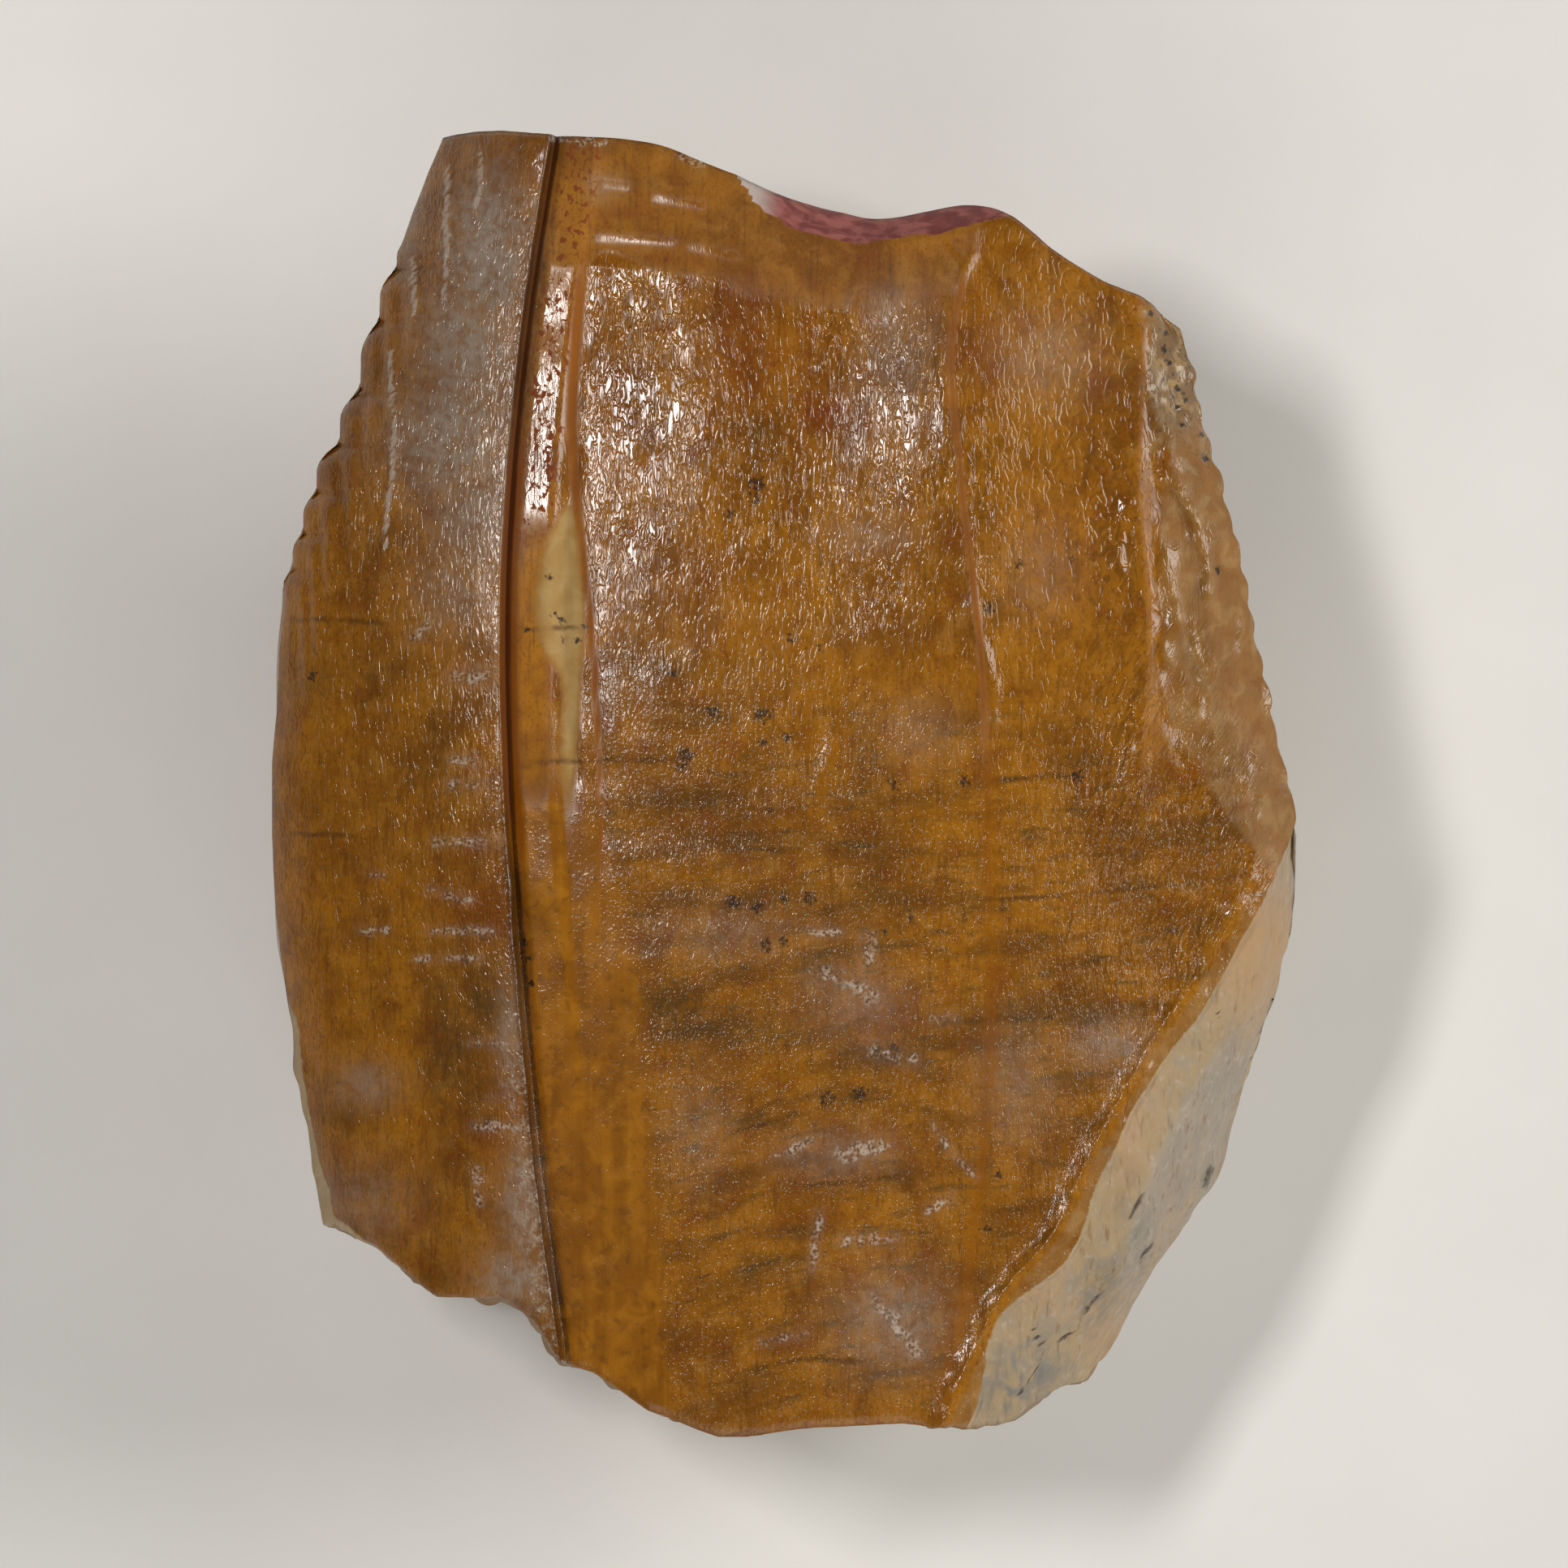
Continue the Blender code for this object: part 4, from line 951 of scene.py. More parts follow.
def back_height(x, y):
    """Height of the rounded back, which is flat at 0 where the tooth rests."""
    across = (x - BACK_PATCH_CENTRE[0]) / BACK_PATCH_HALF[0]
    along = (y - BACK_PATCH_CENTRE[1]) / BACK_PATCH_HALF[1]
    return BACK_RISE * np.maximum(np.hypot(across, along) - 1.0, 0.0) ** BACK_POWER


def tip_edge(x, depth):
    """The cutting edge, and behind it the cupped wear facet."""
    return curve(TIP_EDGE, x) - FACET_RUN * depth - FACET_CUP * np.sin(np.pi * depth)


def base_edge(x, depth):
    """The broken base: ragged at the face, and a rough break that never stands out past that edge."""
    edge = broken_line(BASE_EDGE, x)
    behind = BASE_BACK + BASE_BACK_CURVE * x**2
    wave_x, wave_depth = BREAK_WAVE
    share, ripple_x, ripple_depth, swing = BREAK_RIPPLE
    ripple = np.sin(ripple_x * x + ripple_depth * depth) * np.sin(swing * depth)
    uneven = np.sin(wave_x * x + wave_depth * depth) + share * ripple
    strength = BASE_ROUGHNESS * ramp(depth, 0.0, BREAK_FULL) * eased(depth, *BREAK_CALM)
    return np.maximum(edge + (behind - edge) * ramp(depth, 0.0, BASE_BLEND) + strength * uneven, edge)


def columns(y, depth):
    """Where the columns are at heights y, whose last axis is the columns; depth is 0 in front, 1 behind."""
    gaps = np.append(np.repeat(np.arange(len(STRIPS)), STRIPS), len(STRIPS) - 1)
    across = np.append(np.concatenate([np.arange(strips) / strips for strips in STRIPS]), 1.0)
    lines = np.stack(face_lines(y), axis=-1)
    gaps = np.broadcast_to(gaps, y.shape)[..., None]
    before = np.take_along_axis(lines, gaps, axis=-1)[..., 0]
    after = np.take_along_axis(lines, gaps + 1, axis=-1)[..., 0]
    places = before + (after - before) * across
    share = (places - left_edge(y)) / (right_edge(y) - left_edge(y))
    share = share + (np.linspace(0.0, 1.0, y.shape[-1]) - share) * EVENING_AT_BACK * depth
    smooth = ramp(depth, 0.0, RELIEF_DEPTH)
    inset = SIDE_INSET * (1.0 - np.sqrt(1.0 - (SIDE_ROUNDING * depth) ** 2))
    left = left_edge(y) + (left_side(y) - left_edge(y)) * smooth + inset
    right = right_edge(y) + (right_side(y) - right_edge(y)) * smooth - inset
    return left + share * (right - left)


def layer(depth):
    """One sheet of points at a depth, as rows of (x, y) from the broken base to the worn tip."""
    low = np.full(sum(STRIPS) + 1, -HALF_LENGTH)
    high = -low
    for _ in range(FITTING_ROUNDS):
        low = base_edge(columns(low, depth), depth)
        high = tip_edge(columns(high, depth), depth)
    y = low + (high - low) * np.linspace(0.0, 1.0, ROWS)[:, None]
    return np.stack([columns(y, depth), y], axis=-1)


def around(sheet):
    """What a sheet holds along its rim, once round."""
    return np.concatenate([sheet[0, :-1], sheet[:-1, -1], sheet[-1, :0:-1], sheet[:0:-1, 0]])


def thinned(sheet):
    """Every few rows and columns of a sheet."""
    rows = np.linspace(0, ROWS - 1, BACK_ROWS).round().astype(int)
    kept = np.linspace(0, sum(STRIPS), BACK_COLUMNS).round().astype(int)
    return sheet[rows][:, kept]


def edge_rounding(x, y):
    """How far the face sinks right at its rim, which is worn and not sharp."""
    near = np.minimum(tip_edge(x, 0.0) - y, y - base_edge(x, 0.0))
    return EDGE_ROUNDING * (swell(near, EDGE_WIDTH) + swell(x - left_edge(y), EDGE_WIDTH))


def crown_points():
    """The front sheet, the wall's rings and the back sheet in millimetres, each point with its depth."""
    face = layer(0.0)
    form = face_form(face[..., 0], face[..., 1]) - edge_rounding(face[..., 0], face[..., 1])
    relief = face_relief(face[..., 0], face[..., 1])
    back = layer(1.0)
    underside = back_height(back[..., 0], back[..., 1])
    depths = BANDS_NEAR_FACE[1:] + list(np.linspace(BANDS_NEAR_FACE[-1], 1.0, BANDS_BELOW + 1)[1:-1])
    parts = [np.dstack([face, form + relief, np.zeros(form.shape)]).reshape(-1, 4)]
    for depth in depths:
        fading = around(relief) * (1.0 - ramp(depth, 0.0, RELIEF_DEPTH))
        height = around(form) * (1.0 - depth) + around(underside) * depth + fading
        ring = around(layer(depth))
        parts.append(np.column_stack([ring, height, np.full(len(ring), depth)]))
    behind = thinned(np.dstack([back, underside, np.ones(underside.shape)]))
    parts.append(behind.reshape(-1, 4))
    return np.concatenate(parts), len(depths)


def sheet_faces(numbers, upwards):
    """Quads over a sheet of point numbers."""
    a, b = numbers[:-1, :-1].ravel(), numbers[:-1, 1:].ravel()
    c, d = numbers[1:, 1:].ravel(), numbers[1:, :-1].ravel()
    order = (a, b, c, d) if upwards else (a, d, c, b)
    return np.column_stack(order).tolist()


def ring_faces(upper, lower):
    """Quads between two rings of point numbers."""
    after = np.roll(upper, -1), np.roll(lower, -1)
    return np.column_stack([upper, lower, after[1], after[0]]).tolist()


def joining_faces(whole, kept, ring, rim):
    """Triangles between the last ring, numbered like the whole rim, and the back's rim of kept points."""
    fine_at = np.flatnonzero(np.isin(whole, kept)).tolist()
    faces = []
    for here, (start, end) in enumerate(zip(fine_at, [*fine_at[1:], len(whole)])):
        after = (here + 1) % len(rim)
        middle = (start + end) // 2
        for place in range(start, end):
            corner = here if place < middle else after
            faces.append((ring[place], rim[corner], ring[(place + 1) % len(ring)]))
        faces.append((ring[middle % len(ring)], rim[here], rim[after]))
    return faces


def crown_faces(rings):
    """All the faces by point number, over the face, down the wall and over the back."""
    across = sum(STRIPS) + 1
    face = np.arange(ROWS * across).reshape(ROWS, across)
    whole = around(face)
    loops = [whole]
    for band in range(rings):
        loops.append(np.arange(len(whole)) + face.size + band * len(whole))
    back = np.arange(BACK_ROWS * BACK_COLUMNS).reshape(BACK_ROWS, BACK_COLUMNS)
    back = back + face.size + rings * len(whole)
    faces = sheet_faces(face, True) + sheet_faces(back, False)
    for upper, lower in zip(loops, loops[1:]):
        faces += ring_faces(upper, lower)
    faces += joining_faces(whole, around(thinned(face)), loops[-1].tolist(), around(back).tolist())
    return faces


def zones(points, depth):
    """How far each point belongs to the face, the worn tip, the broken base, the sides and the back."""
    x, y = points[:, 0], points[:, 1]
    face = 1.0 - ramp(depth, 0.0, FACE_DEPTH)
    tip = ramp(y - tip_edge(x, depth), -ZONE_EDGE, 0.0) * (1.0 - face)
    base = ramp(base_edge(x, depth) - y, -ZONE_EDGE, 0.0) * (1.0 - face)
    behind = np.where(depth >= 1.0, 1.0, 0.0)
    sides = (1.0 - face) * (1.0 - tip) * (1.0 - base) * (1.0 - behind)
    return face, tip * (1.0 - behind), base * (1.0 - behind), sides, behind


def surface_grain(points, depth, marks):
    """How far each point stands out along the surface's own direction."""
    face, tip, base, sides, behind = zones(points, depth)
    bare = face * marks["dentine"]
    enamel = face * (1.0 - marks["dentine"])
    smooth = np.maximum.reduce([marks["orange"], marks["lens"], marks["crevice"]])
    uneven = enamel * (1.0 - SMOOTH_CALM * smooth)
    near_rim = swell(points[:, 0] - curve(RIM, points[:, 1]), RIM_ROUGH_WIDTH) * ramp(points[:, 1], *RIM_FADE)
    reliefs = [
        (uneven, LUMPS), (uneven, DIMPLES), (enamel * marks["wrinkle"], WRINKLES),
        (enamel * marks["banding"], GROWTH_WAVES), (enamel * near_rim, RIM_ROUGHNESS),
        (enamel * marks["margin"], MARGIN_BUMPS), (bare, FLANK_LINES), (bare, FLANK_LUMPS),
        (sides, SIDE_LINES), (sides, SIDE_LUMPS), (base, BREAK_GRAIN),
        (base * ramp(depth, 0.0, BREAK_FULL), BREAK_LUMPS), (tip, FACET_LINES), (behind, BACK_LINES),
    ]
    return sum(strength * rough(points, relief) for strength, relief in reliefs)


def patches(x, y, places):
    """The strongest of several soft patches at each point."""
    strength = np.zeros(np.shape(x))
    for centre_x, centre_y, reach_x, reach_y, height in places:
        distance = np.hypot((x - centre_x) / reach_x, (y - centre_y) / reach_y)
        strength = np.maximum(strength, height * swell(distance, 1.0))
    return strength


def dots(x, y, places):
    """1 in the middle of each of several round dots, given as x, y and reach."""
    return patches(x, y, [(dot_x, dot_y, reach, reach, 1.0) for dot_x, dot_y, reach in places])


def dark_lines(x, y):
    """The offset across the nearest dark line, and how far each point is within that line's length."""
    offset = np.full(np.shape(x), 1.0)
    within = np.zeros(np.shape(x))
    for path in DARK_LINES:
        left, right = path[0][0], path[-1][0]
        beside = y - broken_line(path, x)
        length = stretch(x, left, left + LINE_ENDS, right - LINE_ENDS, right)
        nearer = (np.abs(beside) < np.abs(offset)) & (length > 0.0)
        offset = np.where(nearer, beside, offset)
        within = np.where(nearer, length, within)
    return offset, within * ramp(np.abs(offset), *LINE_NEAR)


def bare_dentine(x, y, depth, tip, base):
    """Where the enamel ends: past its foot, along the lower left edge, and a little way down the wall."""
    past_foot = ramp(x - curve(ENAMEL_FOOT, y), *ENAMEL_END)
    beside_sliver = ramp(y, *SLIVER_START) * ramp(x, *SLIVER_SIDE)
    at_edge = beside_sliver * ramp(left_edge(y) + SLIVER_WIDTH - x, *SLIVER_EDGE)
    sliver = np.maximum(SLIVER_TONE * strokes(x, y, LEFT_SLIVER), at_edge)
    reach = ENAMEL_WRAP + (ENAMEL_AT_BREAKS - ENAMEL_WRAP) * np.maximum.reduce([tip, base, beside_sliver])
    return np.maximum.reduce([past_foot, sliver, ramp(depth, WRAP_START * reach, WRAP_END * reach)])


def smooth_orange(x, y):
    """The smooth orange lines: beside the crevice, beside the pale streak, and on the second ridge."""
    beside_crevice = between(x - curve(CREST, y), *CREVICE_LINE) * between(y, *CREVICE_LINE_RUN)
    line = swell(x - curve(SMOOTH_LINE, y), eased(y, *SMOOTH_LINE_WIDTH)) * stretch(y, *SMOOTH_LINE_RUN)
    second = swell(x - curve(RIDGE_TWO, y), eased(y, *SECOND_LINE_WIDTH))
    second = second * eased(y, *SECOND_LINE_TONE) * ramp(y, *SECOND_LINE_END)
    return np.maximum.reduce([CREVICE_LINE_TONE * beside_crevice, line, second])


def smooth_gold(x, y):
    """The smooth golden places: beside the pale streak, on the third ridge, in the channel and on the rim."""
    ridge = curve(RIDGE_THREE, y)
    beside_streak = between(x - curve(CREST, y), *STREAK_SIDE) * between(y, *STREAK_SIDE_RUN)
    third = swell(x - ridge, THIRD_LINE_WIDTH) * stretch(y, *THIRD_LINE_RUN)
    channel = ramp(x - ridge, *CHANNEL_LEFT) * ramp(x - broken_line(MARGIN_STRIP, y), *CHANNEL_RIGHT)
    channel = channel * stretch(y, *CHANNEL_RUN)
    rim = ramp(x - curve(RIM, y), *RIM_SIDE) * ramp(y, *RIM_START)
    return np.maximum.reduce([beside_streak, CHANNEL_TONE * channel, RIM_TONE * rim, THIRD_LINE_TONE * third])


def pale_streak(x, y):
    """The lens-shaped streak of pale enamel, which runs on down as a thin fading line."""
    left = ramp(x - broken_line(LENS_LEFT, y), *LENS_LEFT_EDGE)
    right = ramp(broken_line(LENS_RIGHT, y) - x, *LENS_RIGHT_EDGE)
    return left * right * stretch(y, *LENS_RUN) * eased(y, *LENS_TONE)


def crest_marks(x, y):
    """The red gap of the crevice, the shadow painted dark along its groove, and the worn grey edge of the
    crest beside it.
    """
    past_crest = x - curve(CREST, y)
    gap = between(past_crest, broken_line(GAP_LEFT, y), broken_line(GAP_RIGHT, y), GAP_SOFTNESS)
    # The groove's tone is painted shadow at the foot of the crest's step
    groove = swell(past_crest - eased(y, *CREVICE_SHADOW_OFFSET), CREVICE_SHADOW_WIDTH) * broken_line(CREVICE_SHADOW_TONES, y)
    edge = WORN_EDGE_TONE * swell(past_crest - WORN_EDGE_OFFSET, WORN_EDGE_WIDTH) * between(y, *WORN_EDGE_RUN)
    hazy = HAZY_TONE * stretch(past_crest, *HAZY_STRIP) * ramp(y, *HAZY_START)
    return gap * ramp(y, *GAP_START), groove, np.maximum(edge, hazy)


def top_of_panel(points):
    """The dull part of the panel above its ragged border, from the crest to the second ridge."""
    x, y = points[:, 0], points[:, 1]
    in_panel = ramp(x - curve(CREST, y), *PANEL_LEFT) * ramp(curve(RIDGE_TWO, y) - x, *PANEL_RIGHT)
    return in_panel * ramp(y + rough(points, TOP_RAGGED), eased(x, *TOP_BORDER), TOP_FULL)


def margin_dullness(points, polish):
    """How dull the tan margin is: its raised lines, polished places and small spots are glossy."""
    high_lines = [line for line in RAISED if line[0] > GLOSSY_LINE_HEIGHT]
    glossy_lines = [(GLOSSY_LINE_SPREAD * width, path) for _, width, path in high_lines]
    dull = 1.0 - strokes(points[:, 0], points[:, 1], glossy_lines)
    for gloss in (polish, ramp(noise(points, *MARGIN_SPOTS), *SPOT_LEVELS)):
        dull = dull * (1.0 - MARGIN_GLOSS * gloss)
    return dull


def wrinkling(x, y, polish):
    """How strong the wrinkles are, apart from the smooth places."""
    level = np.where(x < curve(CREST, y), WRINKLING_LEFT, WRINKLING_RIGHT)
    level = level + WRINKLING_POLISHED * polish + WRINKLING_OUTER * ramp(x, *WRINKLING_OUTER_FROM)
    return np.minimum(level, 1.0)


def face_marks(points):
    """The marks of the enamel face, from 0 to 1 at every point."""
    x, y = points[:, 0], points[:, 1]
    past_crest = x - curve(CREST, y)
    gap, groove, worn = crest_marks(x, y)
    orange, golden, lens = smooth_orange(x, y), smooth_gold(x, y), pale_streak(x, y)
    band = ramp(past_crest, *BAND_LEFT_EDGE) * ramp(broken_line(BAND_RIGHT, y) - x, *BAND_RIGHT_EDGE)
    band = band * ramp(y, *BAND_TOP)
    shelf = between(past_crest, *SHELF) * between(y, *SHELF_RUN) * (1.0 - lens) * (1.0 - orange)
    kinds = {"orange": orange, "lens": lens, "band": band, "crevice": gap, "shelf": shelf, "golden": golden}
    plain = 1.0 - np.maximum.reduce([share * kinds[name] for name, share in SMOOTHNESS.items()])
    polish = patches(x, y, POLISHED_PLACES)
    above = top_of_panel(points)
    margin = ramp(x - broken_line(MARGIN_STRIP, y), *MARGIN_EDGE) * ramp(y, *MARGIN_START)
    outside_rim = ramp(x - curve(RIM, y), *OUTSIDE_RIM) * ramp(y, *RIM_START)
    dull = [
        TOP_DULLNESS * above * (1.0 - strokes(x, y, TOP_GLINTS)),
        MARGIN_DULLNESS * margin * margin_dullness(points, polish),
        golden * ramp(y, *GOLD_DULL),
        orange * ramp(y, *ORANGE_DULL),
        lens,
    ]
    return {
        "orange": orange,
        "lens": lens,
        "band": band,
        "crevice": gap,
        "shelf": shelf,
        # groove: painted shadow along the crevice
        "groove": groove,
        "worn": worn,
        "polish": polish,
        "matt": np.maximum.reduce(dull),
        "margin": np.maximum(margin, OUTSIDE_RIM_TONE * outside_rim),
        "gold": np.maximum(patches(x, y, GOLD_PLACES), golden),
        "corner": patches(x, y, CORNER_PLACES),
        # Greyish haze, and a painted sheen on the upper left panel
        "haze_and_sheen": patches(x, y, HAZE_AND_SHEEN_PLACES),
        "red": patches(x, y, RED_PLACES),
        "shade": patches(x, y, SHADE_PLACES),
        "scuff": strokes(x, y, SCUFFS),
        # Painted highlight along the first raised lines
        "painted_line_glints": strokes(x, y, [(PAINTED_GLINT_WIDTH, path) for _, _, path in RAISED[:PAINTED_GLINT_LINES]]),
        "cluster": dots(x, y, CLUSTERS),
        "speck": dots(x, y, [(speck_x, speck_y, SPECK_REACH) for speck_x, speck_y in SPECKS]),
        "wrinkle": wrinkling(x, y, polish) * plain * (1.0 - WRINKLING_TOP * above),
        "banding": ramp(y, *BANDING_FROM) * plain * np.where(past_crest < 0.0, BANDING_LEFT, 1.0),
    }


def surface_marks(points, depth):
    """Where each kind of colour and finish is, from 0 to 1 at every point; the last three are lengths."""
    x, y = points[:, 0], points[:, 1]
    face, tip, base, _, _ = zones(points, depth)
    offset, within = dark_lines(x, y)
    rise = GROWTH_RISE * ramp(x, *GROWTH_RISE_AT) * ramp(y, *GROWTH_RISE_BELOW)
    near_face = eased(depth, *TINT_REACH)
    outer = ramp(x - broken_line(FLANK_DIVIDE, y), *FLANK_DIVIDE_EDGE) * ramp(x, *OUTER_SIDE)
    return {
        **{name: values * face for name, values in face_marks(points).items()},
        "within": within * face,
        "stain": strokes(x, y, STAINS) * ramp(depth, *STAIN_REACH),
        "peach": patches(x, y, PEACH_PLACES) * near_face,
        "steel": patches(x, y, STEEL_PLACES) * near_face,
        "chip": ramp(y - broken_line(CHIP_ARC, x), *CHIP_EDGE) * ramp(depth, *CHIP_REACH),
        "dentine": bare_dentine(x, y, depth, tip, base),
        "stained": base * ramp(x, *STAINED_SIDE) * ramp(depth, *STAINED_REACH),
        "outer": outer,
        "facet": tip,
        "break": base,
        "line": offset,
        "growth": y - rise - GROWTH_TILT * np.maximum(x - GROWTH_RISE_AT[1], 0.0),
        "across": x - LEAN * ramp(x, *LEAN_START) * np.clip(y, *LEAN_REACH),
    }


def make_crown():
    """The whole crown as one closed body that stands for the solid."""
    points, rings = crown_points()
    places, depth = points[:, :3], points[:, 3]
    marks = surface_marks(places, depth)
    mesh = bpy.data.meshes.new("fossil_crown")
    mesh.from_pydata((places * MM).tolist(), [], crown_faces(rings))
    mesh.update()
    outwards = np.zeros(places.size, np.float32)
    mesh.vertex_normals.foreach_get("vector", outwards)
    places = places + outwards.reshape(-1, 3) * surface_grain(places, depth, marks)[:, None]
    low, high = (np.array(corner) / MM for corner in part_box("tooth"))
    places = np.clip(places, low, high)
    mesh.vertices.foreach_set("co", (places * MM).astype(np.float32).ravel())
    for name, values in marks.items():
        attribute = mesh.attributes.new(name, "FLOAT", "POINT")
        attribute.data.foreach_set("value", values.astype(np.float32))
    mesh.materials.append(crown_material(marks))
    mesh.shade_smooth()
    mesh.update()
    crown = bpy.data.objects.new("fossil_crown", mesh)
    bpy.context.scene.collection.objects.link(crown)
    return crown


def node(tree, kind, sockets, **settings):
    """A shader node. Sockets gives each input, by name or number, a value or the output that feeds it."""
    made = tree.nodes.new(kind)
    for name, value in settings.items():
        setattr(made, name, value)
    for name, value in sockets.items():
        if isinstance(value, bpy.types.NodeSocket):
            tree.links.new(value, made.inputs[name])
        else:
            made.inputs[name].default_value = value
    return made


def maths(tree, operation, *values):
    """The result of one operation on shader values."""
    return node(tree, "ShaderNodeMath", dict(enumerate(values)), operation=operation).outputs[0]


def largest(tree, *values):
    """The largest of two or more values."""
    highest = values[0]
    for value in values[1:]:
        highest = maths(tree, "MAXIMUM", highest, value)
    return highest


def times(tree, *values):
    """The product of two or more values."""
    product = values[0]
    for value in values[1:]:
        product = maths(tree, "MULTIPLY", product, value)
    return product


def mixed(tree, share, below, above):
    """A colour between two, by share."""
    mix = node(tree, "ShaderNodeMix", {0: share, 6: below, 7: above}, data_type="RGBA")
    return mix.outputs[2]


def spread(tree, value, low, high, to_low=0.0, to_high=1.0):
    """Value's range from low to high, spread smoothly over another."""
    sockets = {"Value": value, "From Min": low, "From Max": high, "To Min": to_low, "To Max": to_high}
    return node(tree, "ShaderNodeMapRange", sockets, interpolation_type="SMOOTHSTEP").outputs[0]


def shifted(tree, value, breakup, reach):
    """A value moved up and down by noise, reach in all."""
    return maths(tree, "MULTIPLY_ADD", maths(tree, "SUBTRACT", breakup, 0.5), reach, value)


def ragged(tree, value, breakup, reach, low, high):
    """A soft mark with its edge broken up by noise; it starts at low and is full at high."""
    return spread(tree, shifted(tree, value, breakup, reach), low, high)


def grain(tree, place, size, detail, twist):
    """Noise from 0 to 1 with lumps of a size along X, Y and Z, in millimetres."""
    cells = node(tree, "ShaderNodeVectorMath", {0: place, 1: size}, operation="DIVIDE").outputs[0]
    sockets = {"Vector": cells, "Scale": 1.0, "Detail": detail, "Distortion": twist}
    return node(tree, "ShaderNodeTexNoise", sockets).outputs[0]


def make_fields(tree, place, names):
    """The crown's marks and the noises, by name, which colour, relief and finish are made of."""
    fields = {}
    for name in names:
        fields[name] = node(tree, "ShaderNodeAttribute", {}, attribute_name=name).outputs["Fac"]
    x, y, z = node(tree, "ShaderNodeSeparateXYZ", {0: place}).outputs
    ways = {
        "plain": place,
        "fibres": node(tree, "ShaderNodeCombineXYZ", {0: fields["across"], 1: y, 2: z}).outputs[0],
        "layers": node(tree, "ShaderNodeCombineXYZ", {0: x, 1: fields["growth"], 2: z}).outputs[0],
    }
    for name, (way, size, detail, twist) in NOISES.items():
        fields[name] = grain(tree, ways[way], size, detail, twist)
    folds = maths(tree, "ABSOLUTE", maths(tree, "SUBTRACT", fields["wrinkles"], 0.5))
    line = maths(tree, "ABSOLUTE", shifted(tree, fields["line"], fields["breakup"], LINE_WOBBLE))
    fields["x"] = x
    fields["folds"] = spread(tree, folds, FOLD_WIDTH, 0.0)
    fields["dark_line"] = times(tree, spread(tree, line, LINE_WIDTH, 0.0), fields["within"])
    fields["patchy_banding"] = times(tree, fields["banding"], spread(tree, fields["patches"], *PATCHY))
    fields["broken"] = largest(tree, fields["facet"], fields["break"])
    return fields


def layer_share(tree, place, share, fields):
    """How much of a layer shows.

    A place is a mark's name, None for everywhere, or a mark frayed by a noise: both names, how far the noise
    reaches, and the levels at which the mark starts and is full. A share is a number, or the name of a noise
    with two of its levels and the share at each, from none to all of it where they aren't given.
    """
    parts = []
    if isinstance(place, tuple):
        mark, breakup, reach, low, high = place
        parts.append(ragged(tree, fields[mark], fields[breakup], reach, low, high))
    elif place is not None:
        parts.append(fields[place])
    if isinstance(share, tuple):
        name, *levels = share
        parts.append(spread(tree, fields[name], *levels))
    else:
        parts.append(share)
    return times(tree, *parts)


def layered(tree, colour, layers, fields):
    """A colour with layers over it in turn."""
    for above, place, share in layers:
        colour = mixed(tree, layer_share(tree, place, share, fields), colour, above)
    return colour


def enamel_colour(tree, fields):
    """Amber enamel with its amber band, and over both the lines, margin, streak, crevice and worn places."""
    amber = layered(tree, AMBER, AMBER_LAYERS, fields)
    band = layered(tree, BAND_AMBER, BAND_LAYERS, fields)
    under = mixed(tree, layer_share(tree, *BAND_PLACE, fields), amber, band)
    return layered(tree, under, ENAMEL_LAYERS, fields)


def surface_height(tree, fields, bare):
    """Height in millimetres of what is finer than the mesh: wrinkles in the enamel, grain in the dentine."""
    pits = spread(tree, fields["fine_pits"], *PIT_LEVELS)
    enamel = times(tree, fields["folds"], fields["wrinkle"], WRINKLE_DEPTH)
    enamel = maths(tree, "MULTIPLY_ADD", times(tree, pits, fields["banding"]), PIT_DEPTH, enamel)
    enamel = maths(tree, "MULTIPLY_ADD", fields["brushed"], BRUSHED_DEPTH, enamel)
    dentine = times(tree, fields["granules"], GRANULE_DEPTH)
    below = times(tree, enamel, maths(tree, "SUBTRACT", 1.0, bare))
    return maths(tree, "MULTIPLY_ADD", dentine, bare, below)


def surface_roughness(tree, fields, bare, chipped):
    """Glossy enamel, glossiest where polished; its dull places, the chip and the dentine are rougher."""
    pitted = layer_share(tree, "shelf", SHELF_PITS, fields)
    sheen = spread(tree, fields["polish"], 0.0, POLISH_FULL, WORN_ROUGHNESS, POLISHED_ROUGHNESS)
    sheen = spread(tree, largest(tree, fields["matt"], pitted), 0.0, 1.0, sheen, MATT_ROUGHNESS)
    dull = largest(tree, bare, chipped, fields["scuff"], fields["crevice"])
    return maths(tree, "MULTIPLY_ADD", maths(tree, "SUBTRACT", DENTINE_ROUGHNESS, sheen), dull, sheen)


def crown_material(names):
    """Glossy wrinkled enamel and dull dentine in one material, shared out by the crown's marks."""
    material = bpy.data.materials.new("fossil_tooth")
    material.use_nodes = True
    tree = material.node_tree
    shader = tree.nodes["Principled BSDF"]
    metres = node(tree, "ShaderNodeTexCoord", {}).outputs["Object"]
    place = node(tree, "ShaderNodeVectorMath", {0: metres, "Scale": 1.0 / MM}, operation="SCALE").outputs[0]
    fields = make_fields(tree, place, names)
    bare = ragged(tree, fields["dentine"], fields["breakup"], *DENTINE_RAGGED)
    chipped = ragged(tree, fields["chip"], fields["breakup"], *CHIP_RAGGED)
    colour = mixed(tree, bare, enamel_colour(tree, fields), layered(tree, IVORY, DENTINE_LAYERS, fields))
    colour = mixed(tree, chipped, colour, layered(tree, PINK, CHIP_LAYERS, fields))
    tree.links.new(colour, shader.inputs["Base Color"])
    tree.links.new(surface_roughness(tree, fields, bare, chipped), shader.inputs["Roughness"])
    shader.inputs["IOR"].default_value = ENAMEL_IOR
    height = surface_height(tree, fields, bare)
    bump = node(tree, "ShaderNodeBump", {"Height": height, "Strength": 1.0, "Distance": MM})
    tree.links.new(bump.outputs[0], shader.inputs["Normal"])
    return material


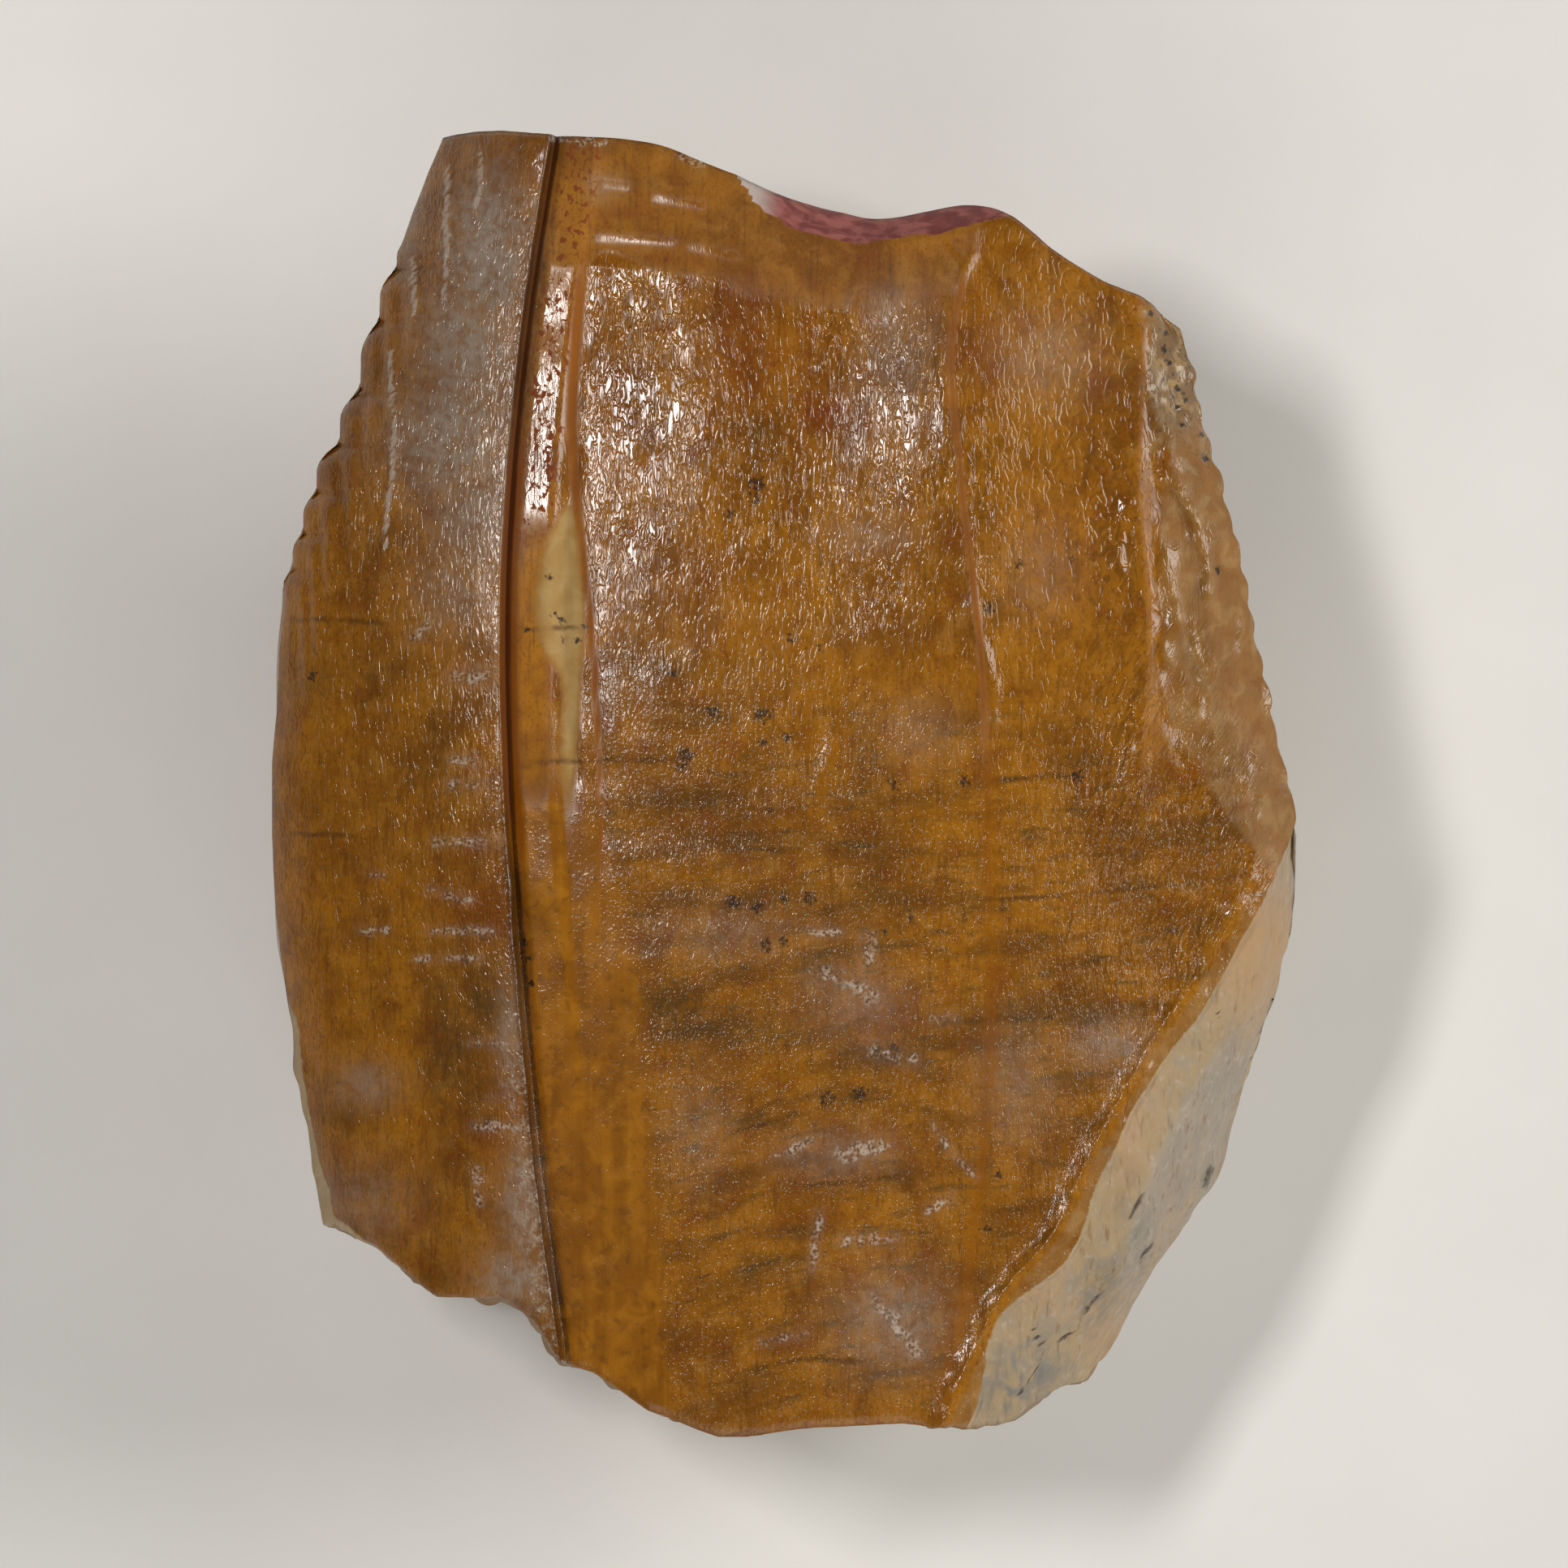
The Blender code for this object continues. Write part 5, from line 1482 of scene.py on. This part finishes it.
def floor_material():
    """Plain pale paper with a hardly visible mottle."""
    material = bpy.data.materials.new("pale_floor")
    material.use_nodes = True
    tree = material.node_tree
    shader = tree.nodes["Principled BSDF"]
    place = node(tree, "ShaderNodeTexCoord", {}).outputs["Object"]
    sockets = {"Vector": place, "Scale": FLOOR_MOTTLE, "Detail": 3.0}
    mottle = node(tree, "ShaderNodeTexNoise", sockets).outputs[0]
    tree.links.new(mixed(tree, mottle, FLOOR_DARK, FLOOR_PALE), shader.inputs["Base Color"])
    shader.inputs["Roughness"].default_value = FLOOR_ROUGHNESS
    return material


def make_floor():
    """A wide pale floor just under the flat that the tooth rests on."""
    mesh = bpy.data.meshes.new("floor")
    corners = [(-FLOOR_REACH, -FLOOR_REACH), (FLOOR_REACH, -FLOOR_REACH), (FLOOR_REACH, FLOOR_REACH),
               (-FLOOR_REACH, FLOOR_REACH)]
    mesh.from_pydata([(x, y, -FLOOR_GAP * MM) for x, y in corners], [], [(0, 1, 2, 3)])
    mesh.materials.append(floor_material())
    floor = bpy.data.objects.new("floor", mesh)
    bpy.context.scene.collection.objects.link(floor)
    return floor


def make_softbox(name, place, target, size, watts, colour):
    """A rectangular soft light at place, turned to the target."""
    light = bpy.data.lights.new(name, "AREA")
    light.shape = "RECTANGLE"
    light.size, light.size_y = size
    light.energy = watts
    light.color = colour
    lamp = bpy.data.objects.new(name, light)
    lamp.location = place
    lamp.rotation_euler = (Vector(target) - Vector(place)).to_track_quat("-Z", "Y").to_euler()
    bpy.context.scene.collection.objects.link(lamp)


def light_studio():
    """A small key at the upper left, a wider light at the right, a broad one below, and a dim even room."""
    for name, place, size, watts, colour in SOFTBOXES:
        make_softbox(name, place, LIGHT_TARGET, size, watts, colour)
    world = bpy.data.worlds.new("room")
    world.use_nodes = True
    background = world.node_tree.nodes["Background"]
    background.inputs["Color"].default_value = ROOM_COLOUR
    background.inputs["Strength"].default_value = ROOM_LIGHT
    bpy.context.scene.world = world
    bpy.context.scene.view_settings.view_transform = "Standard"


def make_camera():
    """A long lens straight above, framed as the photo: its +Y is up."""
    frame_width = PHOTO_PIXELS * CROWN_LENGTH / CROWN_PIXELS
    camera = bpy.data.cameras.new("camera")
    camera.lens = CAMERA_LENS
    camera.sensor_width = CAMERA_SENSOR
    camera.clip_start, camera.clip_end = CAMERA_REACH
    looking = bpy.data.objects.new("camera", camera)
    looking.location = (0.0, 0.0, (frame_width * CAMERA_LENS / CAMERA_SENSOR + MARGIN_LEVEL) * MM)
    bpy.context.scene.collection.objects.link(looking)
    bpy.context.scene.camera = looking


def main():
    """Makes the crown, the floor, the lights and the camera."""
    crown = make_crown()
    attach(crown, "root")
    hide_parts("tooth")
    make_floor()
    light_studio()
    make_camera()


main()
